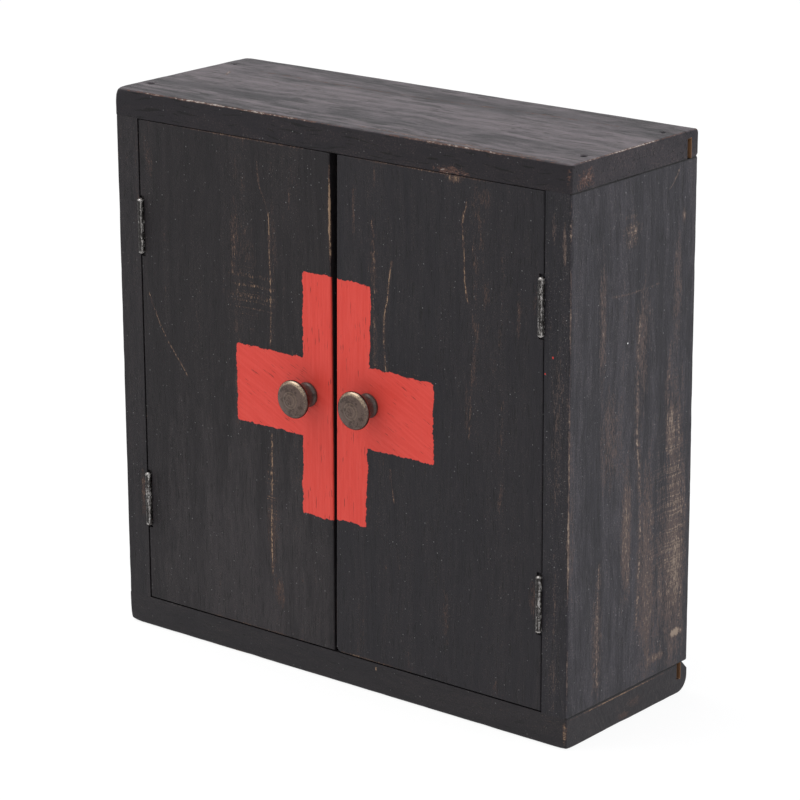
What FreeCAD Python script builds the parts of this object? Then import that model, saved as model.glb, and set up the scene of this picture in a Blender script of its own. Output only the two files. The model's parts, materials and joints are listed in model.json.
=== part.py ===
import FreeCAD, Part
import Sketcher
import math
import os
from types import SimpleNamespace

# A black-painted wooden medicine cabinet: a screwed carcass of solid boards, a back panel held in
# grooves, two shelves on cleats, and two flush doors on butt hinges with turned knobs.
# Millimetres. +Z is up, the doors face -Y, and the origin is the middle of the underside.

driving_sizes = {
    # Carcass boards
    "cabinet_width": 450,
    "cabinet_depth": 160,
    "cabinet_height": 450,
    "top_thickness": 22,
    "bottom_thickness": 25,
    "side_thickness": 23.5,
    "long_edge_round": 2,
    "end_edge_round": 1.2,
    "top_rear_round": 4,
    "top_rear_chamfer": 2.5,
    "bottom_rear_round": 13,
    "bottom_rear_chamfer": 7,
    # Back panel and its grooves
    "groove_width": 5,
    "groove_inset": 9.5,
    "top_groove_depth": 15.5,
    "bottom_groove_depth": 13,
    "side_groove_depth": 8,
    "panel_clearance": 0.25,
    "panel_edge_gap": 1,
    "panel_top_entry": 11,
    "wall_hole_radius": 2.75,
    "wall_hole_spacing": 300,
    "wall_hole_drop": 65,
    # Shelves and the cleats under them
    "shelf_thickness": 15,
    "shelf_door_gap": 15.5,
    "shelf_end_gap": 0.4,
    "shelf_rear_gap": 0.3,
    "shelf_front_round": 3,
    "upper_shelf_share": 0.655,
    "lower_shelf_share": 0.31,
    "cleat_height": 16,
    "cleat_thickness": 14,
    "cleat_chamfer": 4,
    "cleat_setback": 10,
    "cleat_nail_inset": 14,
    # Doors
    "door_thickness": 18,
    "door_side_gap": 1,
    "door_top_gap": 0.5,
    "door_bottom_gap": 0.7,
    "door_edge_round": 1.2,
    "right_door_corner_round": 5,
    "left_free_edge_offset": 2.4,
    "meeting_gap_top": 7.5,
    "meeting_gap_bottom": 2,
    # Butt hinges
    "hinge_length": 43.5,
    "hinge_leaf_width": 15,
    "hinge_leaf_thickness": 1.1,
    "hinge_axis_proud": 1,
    "knuckle_radius": 2.4,
    "end_knuckle_length": 11.2,
    "knuckle_end_gap": 0.3,
    "knuckle_notch_gap": 0.4,
    "knuckle_curl_end": 65,
    "pin_running_gap": 0.05,
    "pin_head_radius": 2,
    "pin_head_height": 0.8,
    "upper_hinge_drop": 86.5,
    "lower_hinge_rise": 85.8,
    "hinge_screw_spacing": 27,
    "hinge_screw_setback": 9.5,
    "mortise_end_gap": 0.3,
    "knuckle_room": 0.4,
    "knuckle_end_room": 3,
    # Knobs
    "knob_radius": 15.5,
    "knob_projection": 22,
    "knob_foot_radius": 10,
    "knob_foot_height": 1.6,
    "knob_neck_radius": 6.6,
    "knob_neck_height": 8,
    "knob_rim_height": 17.5,
    "knob_rim_round": 2.4,
    "knob_flare_radius": 8.5,
    "left_knob_offset": 26.5,
    "left_knob_rise": 6.05,
    "right_knob_offset": 34.3,
    "right_knob_rise": 8.45,
    # Magnetic catches and their keepers
    "catch_offset": 62,
    "catch_width": 46,
    "catch_depth": 14,
    "catch_height": 14,
    "catch_corner_round": 2,
    "catch_screw_spacing": 36,
    "magnet_width": 22,
    "magnet_height": 8,
    "magnet_depth": 9,
    "magnet_proud": 0.8,
    "magnet_clearance": 0.1,
    "keeper_width": 28,
    "keeper_height": 9,
    "keeper_thickness": 1.5,
    "keeper_gap": 0.3,
    # Screws and nails
    "carcass_screw_head_radius": 4.2,
    "carcass_screw_head_height": 2.8,
    "carcass_screw_shank_radius": 2,
    "carcass_screw_length": 50,
    "carcass_screw_sink": 2,
    "carcass_screw_edge_inset": 30,
    "hinge_screw_head_radius": 2.7,
    "hinge_screw_head_height": 1.1,
    "hinge_screw_shank_radius": 1.5,
    "hinge_screw_length": 14,
    "catch_screw_head_radius": 2.9,
    "catch_screw_head_height": 1.6,
    "catch_screw_shank_radius": 1.5,
    "catch_screw_length": 24,
    "keeper_screw_head_radius": 2.4,
    "keeper_screw_head_height": 1.2,
    "keeper_screw_shank_radius": 1.3,
    "keeper_screw_length": 12,
    "cleat_nail_head_radius": 1.9,
    "cleat_nail_head_height": 1,
    "cleat_nail_shank_radius": 1,
    "cleat_nail_length": 28,
    "knob_screw_head_radius": 4,
    "knob_screw_head_height": 2.4,
    "knob_screw_shank_radius": 2,
    "knob_screw_length": 28,
    "screw_clearance": 0.05,
}


class Size:
    """A measure with its number and the sheet expression that it is bound to."""

    def __init__(self, value, text):
        self.value = value
        self.text = text

    def __add__(self, other):
        other = as_size(other)
        return Size(self.value + other.value, f"({self.text} + {other.text})")

    def __sub__(self, other):
        other = as_size(other)
        return Size(self.value - other.value, f"({self.text} - {other.text})")

    def __mul__(self, other):
        other = as_size(other)
        return Size(self.value * other.value, f"({self.text} * {other.text})")

    def __truediv__(self, other):
        other = as_size(other)
        return Size(self.value / other.value, f"({self.text} / {other.text})")

    def __radd__(self, other):
        return as_size(other) + self

    def __rsub__(self, other):
        return as_size(other) - self

    def __rmul__(self, other):
        return as_size(other) * self

    def __neg__(self):
        return Size(-self.value, f"(0 - {self.text})")


def as_size(measure):
    return measure if isinstance(measure, Size) else Size(measure, f"({measure})")


def cosine(angle):
    return Size(math.cos(math.radians(angle.value)), f"cos({angle.text})")


def sine(angle):
    return Size(math.sin(math.radians(angle.value)), f"sin({angle.text})")


doc = FreeCAD.newDocument("medicine_cabinet")
sheet = doc.addObject("Spreadsheet::Sheet", "sizes")
for row, (alias, number) in enumerate(driving_sizes.items(), start=1):
    sheet.set(f"A{row}", alias)
    sheet.set(f"B{row}", str(number))
    sheet.setAlias(f"B{row}", alias)
doc.recompute()
size = SimpleNamespace(**{alias: Size(sheet.get(alias), f"sizes.{alias}") for alias in driving_sizes})

nodes = []


def keep(label, item):
    """Names a finished sub-part and lists it for export."""
    item.Label = label
    nodes.append(item)
    return item


def bind(item, prop, measure):
    item.setExpression(prop, as_size(measure).text)


def bind_place(item, x, y, z, prop="Placement"):
    bind(item, f"{prop}.Base.x", x)
    bind(item, f"{prop}.Base.y", y)
    bind(item, f"{prop}.Base.z", z)


# Sketches and features

def new_sketch(body, plane, offset):
    """Attaches a sketch to one of the body's origin planes, moved along the plane's normal."""
    sketch = body.newObject("Sketcher::SketchObject", "Sketch")
    origin_plane = next(item for item in body.Origin.OriginFeatures if item.Role == plane)
    sketch.AttachmentSupport = [(origin_plane, "")]
    sketch.MapMode = "FlatFace"
    bind(sketch, "AttachmentOffset.Base.z", offset)
    return sketch


def arc_between(start, end, radius, turn):
    """Gives the arc of less or more than a half turn that goes from start to end."""
    chord = end - start
    reach = math.sqrt(max(radius ** 2 - (chord.Length / 2) ** 2, 0))
    side = FreeCAD.Vector(-chord.y, chord.x, 0).normalize()
    wide = abs(turn) > 1
    centre = (start + end) / 2 + side * reach * math.copysign(1, turn) * (-1 if wide else 1)
    first, last = (start, end) if turn > 0 else (end, start)
    first_angle = math.atan2(first.y - centre.y, first.x - centre.x)
    last_angle = math.atan2(last.y - centre.y, last.x - centre.x)
    circle = Part.Circle(centre, FreeCAD.Vector(0, 0, 1), radius)
    return Part.ArcOfCircle(circle, first_angle, last_angle)


def draw(sketch, path):
    """Draws a closed outline. (x, y) ends a line, (x, y, radius, turn) ends an arc.

    turn is 1 for counter-clockwise, -1 for clockwise, and 2 or -2 for more than a half turn."""
    ends = [(as_size(step[0]), as_size(step[1])) for step in path]
    spots = [FreeCAD.Vector(x.value, y.value, 0) for x, y in ends]
    pieces = []
    for index, step in enumerate(path):
        if len(step) == 2:
            piece = sketch.addGeometry(Part.LineSegment(spots[index - 1], spots[index]))
            pieces.append((piece, 1, 2))
            continue
        radius, turn = as_size(step[2]), step[3]
        arc = arc_between(spots[index - 1], spots[index], radius.value, turn)
        piece = sketch.addGeometry(arc)
        pieces.append((piece, 1, 2) if turn > 0 else (piece, 2, 1))
        number = sketch.addConstraint(Sketcher.Constraint("Radius", piece, radius.value))
        bind(sketch, f"Constraints[{number}]", radius)
    for (piece, _, last), (following, first, _), (x, y) in zip(pieces, pieces[1:] + pieces[:1], ends):
        sketch.addConstraint(Sketcher.Constraint("Coincident", piece, last, following, first))
        for kind, measure in (("DistanceX", x), ("DistanceY", y)):
            number = sketch.addConstraint(Sketcher.Constraint(kind, piece, last, measure.value))
            bind(sketch, f"Constraints[{number}]", measure)


def rectangle(left, right, low, high):
    return [(left, low), (right, low), (right, high), (left, high)]


def rectangle_about(x, y, half_width, half_height):
    return rectangle(x - half_width, x + half_width, y - half_height, y + half_height)


def new_body(name):
    return doc.addObject("PartDesign::Body", name)


def pad(body, plane, path, offset, length):
    sketch = new_sketch(body, plane, offset)
    draw(sketch, path)
    feature = body.newObject("PartDesign::Pad", "Pad")
    feature.Profile = sketch
    bind(feature, "Length", length)
    return body


def pocket(body, plane, paths, offset, depth):
    """Cuts outlines into the body, against the plane's normal."""
    sketch = new_sketch(body, plane, offset)
    for path in paths:
        draw(sketch, path)
    feature = body.newObject("PartDesign::Pocket", "Pocket")
    feature.Profile = sketch
    bind(feature, "Length", depth)
    return body


def revolve(name, path):
    """Turns a half profile of (radius, height) about the body's own Z axis."""
    body = new_body(name)
    sketch = new_sketch(body, "XZ_Plane", 0)
    draw(sketch, path)
    feature = body.newObject("PartDesign::Revolution", "Revolution")
    feature.Profile = sketch
    feature.ReferenceAxis = (sketch, ["V_Axis"])
    feature.Angle = 360
    return body


def round_edges(body, radius, wanted):
    """Fillets the edges of the body so far that the given test picks out."""
    doc.recompute()
    base = body.Tip
    names = [f"Edge{number}" for number, edge in enumerate(base.Shape.Edges, start=1) if wanted(edge)]
    feature = body.newObject("PartDesign::Fillet", "Fillet")
    feature.Base = (base, names)
    bind(feature, "Radius", radius)
    return body


touching = 0.001


def lies_on(edge, axis, place):
    return all(abs(getattr(vertex, axis) - place) < touching for vertex in edge.Vertexes)


# Fasteners: one master for each kind, copied to its places, with a hole master for its cuts

tip_slope = 1.5
cut_margin = 1


def fastener(kind, sunk, mouth=cut_margin):
    """Makes a screw or nail and its hole, with the surface that it is driven into at z = 0."""
    head_radius = getattr(size, f"{kind}_head_radius")
    head_height = getattr(size, f"{kind}_head_height")
    shank = getattr(size, f"{kind}_shank_radius")
    length = getattr(size, f"{kind}_length")
    gap = size.screw_clearance
    tip = shank * tip_slope
    if sunk:
        head = [(0, 0), (head_radius, 0), (shank, -head_height)]
        hole = [(0, mouth), (head_radius + gap, mouth), (head_radius + gap, 0), (shank + gap, -head_height)]
    else:
        crown = head_height / 2
        head = [(0, head_height), (head_radius - crown, head_height), (head_radius, crown)]
        head += [(head_radius, 0), (shank, 0)]
        hole = [(0, mouth), (shank + gap, mouth)]
    screw = revolve(kind, head + [(shank, tip - length), (0, -length)])
    cutter = revolve(f"{kind}_hole", hole + [(shank + gap, -length - gap), (0, -length - gap)])
    return SimpleNamespace(screw=screw, hole=cutter)


driven = {
    "down": FreeCAD.Rotation(),
    "up": FreeCAD.Rotation(FreeCAD.Vector(1, 0, 0), 180),
    "right": FreeCAD.Rotation(FreeCAD.Vector(0, 1, 0), -90),
    "left": FreeCAD.Rotation(FreeCAD.Vector(0, 1, 0), 90),
    "forward": FreeCAD.Rotation(FreeCAD.Vector(1, 0, 0), -90),
}


def copies(name, master, places):
    """Links copies of one master to (x, y, z, direction) places, as one group of solids."""
    links = []
    for x, y, z, direction in places:
        link = doc.addObject("App::Link", f"{name}_copy")
        link.LinkedObject = master
        link.LinkPlacement = FreeCAD.Placement(FreeCAD.Vector(), driven[direction])
        bind_place(link, x, y, z, "LinkPlacement")
        links.append(link)
    group = doc.addObject("Part::Compound", name)
    group.Links = links
    return group


def drilled(label, blank, *cutters):
    """Finishes a piece by cutting its fastener holes."""
    tool = cutters[0]
    if len(cutters) > 1:
        tool = doc.addObject("Part::Compound", f"{label}_drills")
        tool.Links = list(cutters)
    cut = doc.addObject("Part::Cut", f"{label}_drilled")
    cut.Base = blank
    cut.Tool = tool
    return keep(label, cut)


carcass_screw = fastener("carcass_screw", sunk=True, mouth=size.carcass_screw_sink + cut_margin)
hinge_screw = fastener("hinge_screw", sunk=True)
catch_screw = fastener("catch_screw", sunk=True)
keeper_screw = fastener("keeper_screw", sunk=True)
cleat_nail = fastener("cleat_nail", sunk=True)
knob_screw = fastener("knob_screw", sunk=False)

# Places that several pieces share

half_width = size.cabinet_width / 2
front = -size.cabinet_depth / 2
rear = size.cabinet_depth / 2
inner_half_width = half_width - size.side_thickness
inside_floor = size.bottom_thickness
inside_ceiling = size.cabinet_height - size.top_thickness
groove_rear = rear - size.groove_inset
groove_front = groove_rear - size.groove_width
panel_front = groove_front + size.panel_clearance
panel_thickness = size.groove_width - 2 * size.panel_clearance
door_outer = inner_half_width - size.door_side_gap
door_low = inside_floor + size.door_bottom_gap
door_high = inside_ceiling - size.door_top_gap
door_inner_face = front + size.door_thickness
shelf_front = door_inner_face + size.shelf_door_gap
shelf_rear = panel_front - size.shelf_rear_gap
hinge_x = inner_half_width - size.knuckle_radius
hinge_y = front - size.hinge_axis_proud
screw_x = half_width - size.side_thickness / 2
sides = (("left", -1), ("right", 1))
inward = {-1: "right", 1: "left"}
outward = {-1: "left", 1: "right"}
hinge_levels = (("upper", door_high - size.upper_hinge_drop), ("lower", door_low + size.lower_hinge_rise))
inside_height = inside_ceiling - inside_floor
shelf_levels = (
    ("upper", inside_floor + size.upper_shelf_share * inside_height),
    ("lower", inside_floor + size.lower_shelf_share * inside_height),
)
door_middle = (door_low + door_high) / 2
wall_hole_level = size.cabinet_height - size.wall_hole_drop


def carcass_screw_places(height, direction):
    """Gives the screws that hold the top or bottom board to both side boards."""
    inset = size.carcass_screw_edge_inset
    rows = (front + inset, rear - inset)
    return [(s * screw_x, y, height, direction) for _, s in sides for y in rows]


top_screw_places = carcass_screw_places(size.cabinet_height - size.carcass_screw_sink, "down")
bottom_screw_places = carcass_screw_places(size.carcass_screw_sink, "up")
top_screw_holes = copies("top_screw_holes", carcass_screw.hole, top_screw_places)
bottom_screw_holes = copies("bottom_screw_holes", carcass_screw.hole, bottom_screw_places)
keep("top_screws", copies("top_screw_group", carcass_screw.screw, top_screw_places))
keep("bottom_screws", copies("bottom_screw_group", carcass_screw.screw, bottom_screw_places))


def hinge_screw_places(x, direction, level):
    """Gives the two screws of one hinge leaf."""
    reach = size.hinge_screw_spacing / 2
    return [(x, hinge_y + size.hinge_screw_setback, z, direction) for z in (level - reach, level + reach)]


def frame_leaf_screws(s):
    face = s * (inner_half_width - size.hinge_leaf_thickness)
    return [place for _, level in hinge_levels for place in hinge_screw_places(face, outward[s], level)]


def door_leaf_screws(s):
    face = s * (hinge_x - size.knuckle_radius + size.hinge_leaf_thickness)
    return [place for _, level in hinge_levels for place in hinge_screw_places(face, inward[s], level)]


def cleat_nail_places(s):
    face = s * (inner_half_width - size.cleat_thickness)
    inset = size.cleat_setback + size.cleat_nail_inset
    rows = [level - size.cleat_height / 2 for _, level in shelf_levels]
    return [(face, y, z, outward[s]) for z in rows for y in (shelf_front + inset, shelf_rear - inset)]


# Top and bottom boards: an end profile with the through groove, drawn in the YZ plane

def worn_end(edge):
    """Picks the outer edges of a board's two ends, not those in the groove or against a side board."""
    at_end = lies_on(edge, "X", half_width.value) or lies_on(edge, "X", -half_width.value)
    on_joint = lies_on(edge, "Z", inside_ceiling.value) or lies_on(edge, "Z", inside_floor.value)
    outer_face = lies_on(edge, "Z", 0) or lies_on(edge, "Z", size.cabinet_height.value)
    middle = edge.CenterOfMass.y
    in_groove = groove_front.value - touching < middle < groove_rear.value + touching
    return at_end and not on_joint and (outer_face or not in_groove)


def top_board():
    low, high = inside_ceiling, size.cabinet_height
    edge, corner, cut = size.long_edge_round, size.top_rear_round, size.top_rear_chamfer
    groove_top = low + size.top_groove_depth
    body = pad(new_body("top_blank"), "YZ_Plane", [
        (groove_front, low),
        (groove_front, groove_top),
        (groove_rear, groove_top),
        (groove_rear, low),
        (rear - cut, low),
        (rear, low + cut),
        (rear, high - corner),
        (rear - corner, high, corner, 1),
        (front + edge, high),
        (front, high - edge, edge, 1),
        (front, low),
    ], -half_width, size.cabinet_width)
    return round_edges(body, size.end_edge_round, worn_end)


def bottom_board():
    low, high = as_size(0), inside_floor
    edge, corner, cut = size.long_edge_round, size.bottom_rear_round, size.bottom_rear_chamfer
    groove_floor = high - size.bottom_groove_depth
    body = pad(new_body("bottom_blank"), "YZ_Plane", [
        (rear - corner, low),
        (rear, low + corner, corner, 1),
        (rear, high - cut),
        (rear - cut, high),
        (groove_rear, high),
        (groove_rear, groove_floor),
        (groove_front, groove_floor),
        (groove_front, high),
        (front, high),
        (front, low + edge),
        (front + edge, low, edge, 1),
    ], -half_width, size.cabinet_width)
    return round_edges(body, size.end_edge_round, worn_end)


# Side boards: a plan section with the stopped groove, drawn in the XY plane

def side_board(name, s):
    outer, inner = s * half_width, s * inner_half_width
    edge = size.long_edge_round
    groove_bottom = inner + s * size.side_groove_depth
    body = pad(new_body(f"{name}_side_blank"), "XY_Plane", [
        (outer - s * edge, front),
        (outer, front + edge, edge, s),
        (outer, rear - edge),
        (outer - s * edge, rear, edge, s),
        (inner, rear),
        (inner, groove_rear),
        (groove_bottom, groove_rear),
        (groove_bottom, groove_front),
        (inner, groove_front),
        (inner, front),
    ], inside_floor, inside_height)
    leaf_holes = copies(f"{name}_frame_leaf_holes", hinge_screw.hole, frame_leaf_screws(s))
    nail_holes = copies(f"{name}_side_nail_holes", cleat_nail.hole, cleat_nail_places(s))
    drilled(f"{name}_side", body, top_screw_holes, bottom_screw_holes, leaf_holes, nail_holes)


# Back panel: slid into the grooves, standing on the floor of the bottom one

def back_panel():
    low = inside_floor - size.bottom_groove_depth
    high = inside_ceiling + size.panel_top_entry
    reach = inner_half_width + size.side_groove_depth - size.panel_edge_gap
    body = pad(new_body("back_panel_blank"), "XZ_Plane", rectangle(-reach, reach, low, high),
               -(panel_front + panel_thickness), panel_thickness)
    holes = []
    for s in (-1, 1):
        hole = doc.addObject("Part::Cylinder", "wall_hole")
        hole.Placement.Rotation = driven["forward"]
        bind(hole, "Radius", size.wall_hole_radius)
        bind(hole, "Height", panel_thickness + 2 * cut_margin)
        bind_place(hole, s * size.wall_hole_spacing / 2, panel_front - cut_margin, wall_hole_level)
        holes.append(hole)
    drilled("back_panel", body, *holes)


# Shelves and cleats

def shelf(name, level):
    reach = inner_half_width - size.shelf_end_gap
    high = level + size.shelf_thickness
    edge = size.shelf_front_round
    body = pad(new_body(f"{name}_shelf_board"), "YZ_Plane", [
        (shelf_rear, level),
        (shelf_rear, high),
        (shelf_front + edge, high),
        (shelf_front, high - edge, edge, 1),
        (shelf_front, level + edge),
        (shelf_front + edge, level, edge, 1),
    ], -reach, 2 * reach)
    keep(f"{name}_shelf", body)


def cleat(name, side_name, s, level, nail_holes):
    outer = s * inner_half_width
    inner = s * (inner_half_width - size.cleat_thickness)
    low, cut = level - size.cleat_height, size.cleat_chamfer
    body = pad(new_body(f"{name}_{side_name}_cleat_blank"), "XZ_Plane", [
        (outer, low),
        (outer, level),
        (inner, level),
        (inner, low + cut),
        (inner + s * cut, low),
    ], -(shelf_rear - size.cleat_setback), shelf_rear - shelf_front - 2 * size.cleat_setback)
    drilled(f"{name}_{side_name}_cleat", body, nail_holes)


# Doors: a front outline with mortises for the hinge leaves and room for the knuckles

def mortise(s, level, floor, end_gap):
    half = size.hinge_length / 2 + end_gap
    return rectangle(s * floor, s * inner_half_width, level - half, level + half)


def door(name, s):
    outer = s * door_outer
    if s < 0:
        free = -size.left_free_edge_offset
        outline = rectangle(outer, free, door_low, door_high)
    else:
        free_high = size.meeting_gap_top - size.left_free_edge_offset
        free_low = size.meeting_gap_bottom - size.left_free_edge_offset
        corner = size.right_door_corner_round
        outline = [
            (outer, door_low),
            (outer, door_high),
            (free_high, door_high),
            (free_low, door_low + corner),
            (free_low + corner, door_low, corner, 1),
        ]
    body = pad(new_body(f"{name}_door_blank"), "XZ_Plane", outline, -door_inner_face, size.door_thickness)
    round_edges(body, size.door_edge_round, lambda edge: lies_on(edge, "Y", front.value))
    bed_floor = hinge_x - size.knuckle_radius
    levels = [level for _, level in hinge_levels]
    pocket(body, "XZ_Plane", [mortise(s, level, bed_floor, size.mortise_end_gap) for level in levels],
           -front, size.hinge_leaf_width - size.hinge_axis_proud + size.mortise_end_gap)
    room_floor = bed_floor - size.knuckle_room
    pocket(body, "XZ_Plane", [mortise(s, level, room_floor, size.knuckle_end_room) for level in levels],
           -front, size.knuckle_radius - size.hinge_axis_proud + size.knuckle_room)
    leaf_holes = copies(f"{name}_door_leaf_holes", hinge_screw.hole, door_leaf_screws(s))
    knob_hole = copies(f"{name}_knob_door_hole", knob_screw.hole, [knob_screw_place(s)])
    keeper_hole = copies(f"{name}_keeper_door_hole", keeper_screw.hole, [keeper_screw_place(s)])
    drilled(f"{name}_door_panel", body, leaf_holes, knob_hole, keeper_hole)


# Butt hinges: each leaf is a strip curled round the pin, notched between its knuckles

def hinge_leaf(label, s, side_of_pin, level, notches, screw_places):
    """side_of_pin is s for the leaf on the side board and -s for the leaf on the door edge."""
    radius, thick = size.knuckle_radius, size.hinge_leaf_thickness
    bore = radius - thick
    axis_x, axis_y = s * hinge_x, hinge_y
    leaf_end = axis_y + size.hinge_leaf_width
    across, along = cosine(size.knuckle_curl_end), sine(size.knuckle_curl_end)
    low = level - size.hinge_length / 2
    body = pad(new_body(f"{label}_blank"), "XY_Plane", [
        (axis_x + side_of_pin * radius, axis_y),
        (axis_x + side_of_pin * radius * across, axis_y + radius * along, radius, -2 * side_of_pin),
        (axis_x + side_of_pin * bore * across, axis_y + bore * along),
        (axis_x + side_of_pin * bore, axis_y, bore, 2 * side_of_pin),
        (axis_x + side_of_pin * bore, leaf_end),
        (axis_x + side_of_pin * radius, leaf_end),
    ], low, size.hinge_length)
    reach = radius + size.knuckle_notch_gap
    for notch_low, notch_high in notches:
        pocket(body, "XY_Plane", [rectangle_about(axis_x, axis_y, reach, reach)],
               low + notch_high, notch_high - notch_low)
    drilled(label, body, copies(f"{label}_holes", hinge_screw.hole, screw_places))


def hinge_pin(label, s, level):
    radius = size.knuckle_radius - size.hinge_leaf_thickness - size.pin_running_gap
    half = size.hinge_length / 2
    head, crown = size.pin_head_radius, size.pin_head_height
    pin = revolve(f"{label}_turned", [
        (radius, -half - crown),
        (head, -half),
        (radius, -half),
        (radius, half),
        (head, half),
        (radius, half + crown),
        (0, half + crown),
        (0, -half - crown),
    ])
    bind_place(pin, s * hinge_x, hinge_y, level)
    keep(label, pin)


def hinge(name, s, level_name, level):
    label = f"{name}_{level_name}_hinge"
    end, gap, length = size.end_knuckle_length, size.knuckle_end_gap, size.hinge_length
    frame_face = s * (inner_half_width - size.hinge_leaf_thickness)
    door_face = s * (hinge_x - size.knuckle_radius + size.hinge_leaf_thickness)
    hinge_leaf(f"{label}_frame_leaf", s, s, level, [(end, length - end)],
               hinge_screw_places(frame_face, outward[s], level))
    hinge_leaf(f"{label}_door_leaf", s, -s, level, [(0, end + gap), (length - end - gap, length)],
               hinge_screw_places(door_face, inward[s], level))
    hinge_pin(f"{label}_pin", s, level)


# Knobs: turned in one piece, held by a screw from inside the door

def knob_place(s):
    if s < 0:
        return -size.left_knob_offset, door_middle + size.left_knob_rise
    return size.right_knob_offset, door_middle + size.right_knob_rise


def knob_screw_place(s):
    x, z = knob_place(s)
    return (x, door_inner_face, z, "forward")


def knob(name, s):
    foot, foot_height = size.knob_foot_radius, size.knob_foot_height
    neck, neck_height = size.knob_neck_radius, size.knob_neck_height
    rim, rim_height, rim_round = size.knob_radius, size.knob_rim_height, size.knob_rim_round
    cove = neck_height - foot_height
    face_edge = rim - rim_round
    body = revolve(f"{name}_knob_turned", [
        (foot, 0),
        (foot, foot_height),
        (neck, neck_height, cove, -1),
        (face_edge, rim_height - rim_round, size.knob_flare_radius, -1),
        (rim, rim_height, rim_round, 1),
        (face_edge, rim_height + rim_round, rim_round, 1),
        (0, size.knob_projection),
        (0, 0),
    ])
    body.Placement.Rotation = FreeCAD.Rotation(FreeCAD.Vector(1, 0, 0), 90)
    x, z = knob_place(s)
    bind_place(body, x, front, z)
    place = [knob_screw_place(s)]
    drilled(f"{name}_knob", body, copies(f"{name}_knob_hole", knob_screw.hole, place))
    keep(f"{name}_knob_screw", copies(f"{name}_knob_screw_group", knob_screw.screw, place))


# Magnetic catches under the top board, and the keepers on the doors

magnet_middle = inside_ceiling - size.catch_height / 2
magnet_face = door_inner_face + size.keeper_thickness + size.keeper_gap
catch_front = magnet_face + size.magnet_proud


def keeper_screw_place(s):
    return (s * size.catch_offset, door_inner_face + size.keeper_thickness, magnet_middle, "forward")


def catch_screw_places(s):
    reach = size.catch_screw_spacing / 2
    low = inside_ceiling - size.catch_height
    middle = catch_front + size.catch_depth / 2
    return [(s * size.catch_offset + x, middle, low, "up") for x in (-reach, reach)]


def catch(name, s):
    middle, half = s * size.catch_offset, size.catch_width / 2
    low, corner = inside_ceiling - size.catch_height, size.catch_corner_round
    body = pad(new_body(f"{name}_catch_blank"), "XZ_Plane", [
        (middle + half - corner, low),
        (middle + half, low + corner, corner, 1),
        (middle + half, inside_ceiling),
        (middle - half, inside_ceiling),
        (middle - half, low + corner),
        (middle - half + corner, low, corner, 1),
    ], -(catch_front + size.catch_depth), size.catch_depth)
    gap = size.magnet_clearance
    wide, tall = size.magnet_width / 2, size.magnet_height / 2
    seat = rectangle_about(middle, magnet_middle, wide + gap, tall + gap)
    pocket(body, "XZ_Plane", [seat], -catch_front, size.magnet_depth - size.magnet_proud)
    holes = copies(f"{name}_catch_holes", catch_screw.hole, catch_screw_places(s))
    drilled(f"{name}_catch_housing", body, holes)
    outline = rectangle_about(middle, magnet_middle, wide, tall)
    block = pad(new_body(f"{name}_magnet_block"), "XZ_Plane", outline,
                -(magnet_face + size.magnet_depth), size.magnet_depth)
    keep(f"{name}_catch_magnet", block)


def keeper(name, s):
    wide, tall = size.keeper_width / 2, size.keeper_height / 2
    plate = rectangle_about(s * size.catch_offset, magnet_middle, wide, tall)
    body = pad(new_body(f"{name}_keeper_blank"), "XZ_Plane", plate,
               -(door_inner_face + size.keeper_thickness), size.keeper_thickness)
    place = [keeper_screw_place(s)]
    drilled(f"{name}_keeper", body, copies(f"{name}_keeper_hole", keeper_screw.hole, place))
    keep(f"{name}_keeper_screw", copies(f"{name}_keeper_screw_group", keeper_screw.screw, place))


# The cabinet, piece by piece

all_catch_screws = [place for _, s in sides for place in catch_screw_places(s)]
catch_holes = copies("top_catch_holes", catch_screw.hole, all_catch_screws)
drilled("top_board", top_board(), top_screw_holes, catch_holes)
drilled("bottom_board", bottom_board(), bottom_screw_holes)
back_panel()
for level_name, level in shelf_levels:
    shelf(level_name, level)
for side_name, s in sides:
    side_board(side_name, s)
    nail_places = cleat_nail_places(s)
    nail_holes = copies(f"{side_name}_cleat_holes", cleat_nail.hole, nail_places)
    for level_name, level in shelf_levels:
        cleat(level_name, side_name, s, level, nail_holes)
    keep(f"{side_name}_cleat_nails", copies(f"{side_name}_nail_group", cleat_nail.screw, nail_places))
    door(side_name, s)
    for level_name, level in hinge_levels:
        hinge(side_name, s, level_name, level)
    frame_screws = copies(f"{side_name}_frame_screw_group", hinge_screw.screw, frame_leaf_screws(s))
    keep(f"{side_name}_frame_hinge_screws", frame_screws)
    door_screws = copies(f"{side_name}_door_screw_group", hinge_screw.screw, door_leaf_screws(s))
    keep(f"{side_name}_door_hinge_screws", door_screws)
    knob(side_name, s)
    catch(side_name, s)
    keeper(side_name, s)
keep("catch_screws", copies("catch_screw_group", catch_screw.screw, all_catch_screws))

doc.recompute()

failed = [item.Name for item in doc.Objects if {"Invalid", "Error"} & set(item.State)]
failed += [item.Label for item in nodes if item.Shape.isNull() or not item.Shape.isValid()]
if failed:
    raise RuntimeError(f"these objects failed: {failed}")

os.makedirs("parts", exist_ok=True)
for item in nodes:
    item.Shape.exportStep(f"parts/{item.Label}.step")
    print(f"{item.Label}: {len(item.Shape.Solids)} solids, {item.Shape.Volume:.1f} mm3")
print(f"{len(nodes)} nodes")
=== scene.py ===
import json
import math
import bmesh
import bpy
from mathutils import Matrix, Vector, noise


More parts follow.
